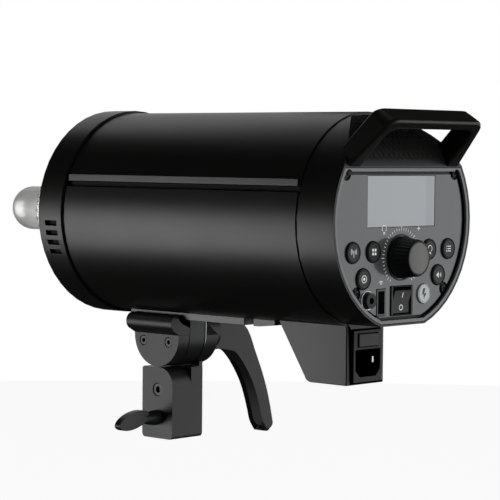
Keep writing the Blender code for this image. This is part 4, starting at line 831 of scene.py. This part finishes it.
def slopeHoneycomb():
    centre, radius = slopeArc()
    print("slope arc", [round(value, 4) for value in centre], round(radius, 4))
    shape = bmesh.new()
    pitch = honeycomb["pitch"]
    rowStep = pitch * sqrt(3) / 2
    span = radians(honeycomb["crownAngle"] - honeycomb["rearAngle"]) * radius
    rows = int(span / rowStep)
    columns = int(2 * honeycomb["halfWidth"] / pitch)
    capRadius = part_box("rear_cap")[1].x
    for row in range(rows):
        for column in range(columns + 1):
            x = (column - columns / 2 + (0.5 if row % 2 else 0.0)) * pitch
            along = row * rowStep + rowStep / 2
            angle = radians(honeycomb["rearAngle"]) + along / radius
            height = centre.y + radius * sin(angle) - lampAxis.z
            if hypot(abs(x) + pitch * 0.6, height + 0.002) > capRadius:
                continue
            bmesh.ops.create_circle(shape, cap_ends=True, segments=6, radius=pitch / sqrt(3),
                                    matrix=Matrix.Translation((x, along, 0.0)))
    bmesh.ops.remove_doubles(shape, verts=shape.verts, dist=pitch * 0.02)
    inset = bmesh.ops.inset_individual(shape, faces=shape.faces[:], thickness=honeycomb["rib"] / 2,
                                       depth=0.0)
    rim = set(inset["faces"])
    bmesh.ops.delete(shape, geom=[face for face in shape.faces if face not in rim], context="FACES_ONLY")
    bmesh.ops.solidify(shape, geom=shape.faces[:], thickness=honeycomb["thickness"])
    for vert in shape.verts:
        angle = radians(honeycomb["rearAngle"]) + vert.co.y / radius
        reach = radius + honeycomb["proud"] + vert.co.z
        vert.co = (vert.co.x, centre.x + reach * cos(angle), centre.y + reach * sin(angle))
    addPiece("honeycomb_grille", shape, materials["black_plastic"], "lamp", "black_plastic")


slopeHoneycomb()
print("honeycomb done")


view = {"centre": (0.93515, 0.93086, 0.18409), "back": (0.73373, 0.67774, 0.04805), "roll": 0.537,
        "lens": 147.97, "sensor": 36.0}
# toward is the way to each soft box from the middle of the lamp, which it faces
softBoxes = {
    "sideKey": {"toward": (0.69, -0.68, -0.23), "distance": 1.4, "size": (0.5, 0.75), "power": 5.4},
    "topFront": {"toward": (-0.42, -0.68, 0.60), "distance": 1.4, "size": (0.8, 0.5), "power": 1.0},
    "panelGlow": {"toward": (-0.734, 0.678, -0.048), "distance": 1.4, "size": (1.2, 1.2), "power": 5.6},
    "rearFill": {"toward": (0.0, 1.0, 0.1), "distance": 1.4, "size": (0.9, 0.9), "power": 11.8,
                 "glossy": False},
    "farSide": {"toward": (-0.95, -0.30, 0.02), "distance": 1.4, "size": (0.8, 0.7), "power": 8.0},
    "frontFill": {"toward": (-0.50, -0.85, 0.10), "distance": 1.4, "size": (0.9, 0.9), "power": 2.0},
    "overhead": {"toward": (-0.15, -0.25, 1.0), "distance": 1.4, "size": (0.8, 0.8), "power": 0.8},
}
stage = {"floorDrop": 0.75, "floorSize": 14.0, "backdrop": (1.0, 1.0, 1.0), "ambient": 0.016,
         "floorGlow": 0.93}


def softLight(name, toward, distance, size, power, glossy=True):
    aim = Vector((0.0, 0.06, lampAxis.z))
    light = bpy.data.lights.new(name, "AREA")
    light.shape = "RECTANGLE"
    light.size, light.size_y = size
    light.energy = power
    holder = bpy.data.objects.new(name, light)
    bpy.context.scene.collection.objects.link(holder)
    direction = Vector(toward).normalized()
    holder.location = aim + direction * distance
    holder.rotation_euler = direction.to_track_quat("Z", "Y").to_euler()
    holder.visible_camera = False
    holder.visible_glossy = glossy


def floorAndWorld():
    shape = bmesh.new()
    bmesh.ops.create_circle(shape, cap_ends=True, segments=96, radius=stage["floorSize"] / 2,
                            matrix=Matrix.Translation((0.0, 0.0, -stage["floorDrop"])))
    material, shader, tree = newMaterial("paleFloor")
    shade = noise(tree, 3.0)
    link(tree, shade.blend((0.86, 0.86, 0.86), (0.88, 0.88, 0.88)), shader, "Base Color")
    shader.inputs["Roughness"].default_value = 0.9
    shader.inputs["Emission Color"].default_value = (1.0, 1.0, 1.0, 1.0)
    shader.inputs["Emission Strength"].default_value = stage["floorGlow"]
    data = bpy.data.meshes.new("floor")
    shape.to_mesh(data)
    shape.free()
    data.materials.append(material)
    floor = bpy.data.objects.new("floor", data)
    bpy.context.scene.collection.objects.link(floor)
    floor.visible_diffuse = False
    floor.visible_glossy = False
    world = bpy.data.worlds.new("studio")
    world.use_nodes = True
    tree = Wire(world.node_tree)
    background = world.node_tree.nodes["Background"]
    seen = tree.node("ShaderNodeLightPath", output="Is Camera Ray")
    through = tree.node("ShaderNodeLightPath", output="Is Transmission Ray")
    seen = tree.calc("MAXIMUM", seen, through)
    background.inputs["Color"].default_value = (*stage["backdrop"], 1.0)
    link(tree, seen * (1.0 - stage["ambient"]) + stage["ambient"], background, "Strength")
    bpy.context.scene.world = world


def studioCamera():
    data = bpy.data.cameras.new("studioCamera")
    data.lens = view["lens"]
    data.sensor_width = view["sensor"]
    data.clip_start, data.clip_end = 0.05, 60.0
    camera = bpy.data.objects.new("studioCamera", data)
    bpy.context.scene.collection.objects.link(camera)
    back = Vector(view["back"]).normalized()
    right = Vector((-back.y, back.x, 0.0)).normalized()
    up = back.cross(right)
    roll = radians(view["roll"])
    tiltedRight = right * cos(roll) + up * sin(roll)
    tiltedUp = up * cos(roll) - right * sin(roll)
    axes = Matrix((tiltedRight, tiltedUp, back)).transposed().to_4x4()
    camera.matrix_world = Matrix.Translation(view["centre"]) @ axes
    bpy.context.scene.camera = camera


floorAndWorld()
for name, values in softBoxes.items():
    softLight(name, **values)
studioCamera()
bpy.context.scene.view_settings.view_transform = "Standard"
print("stage done")
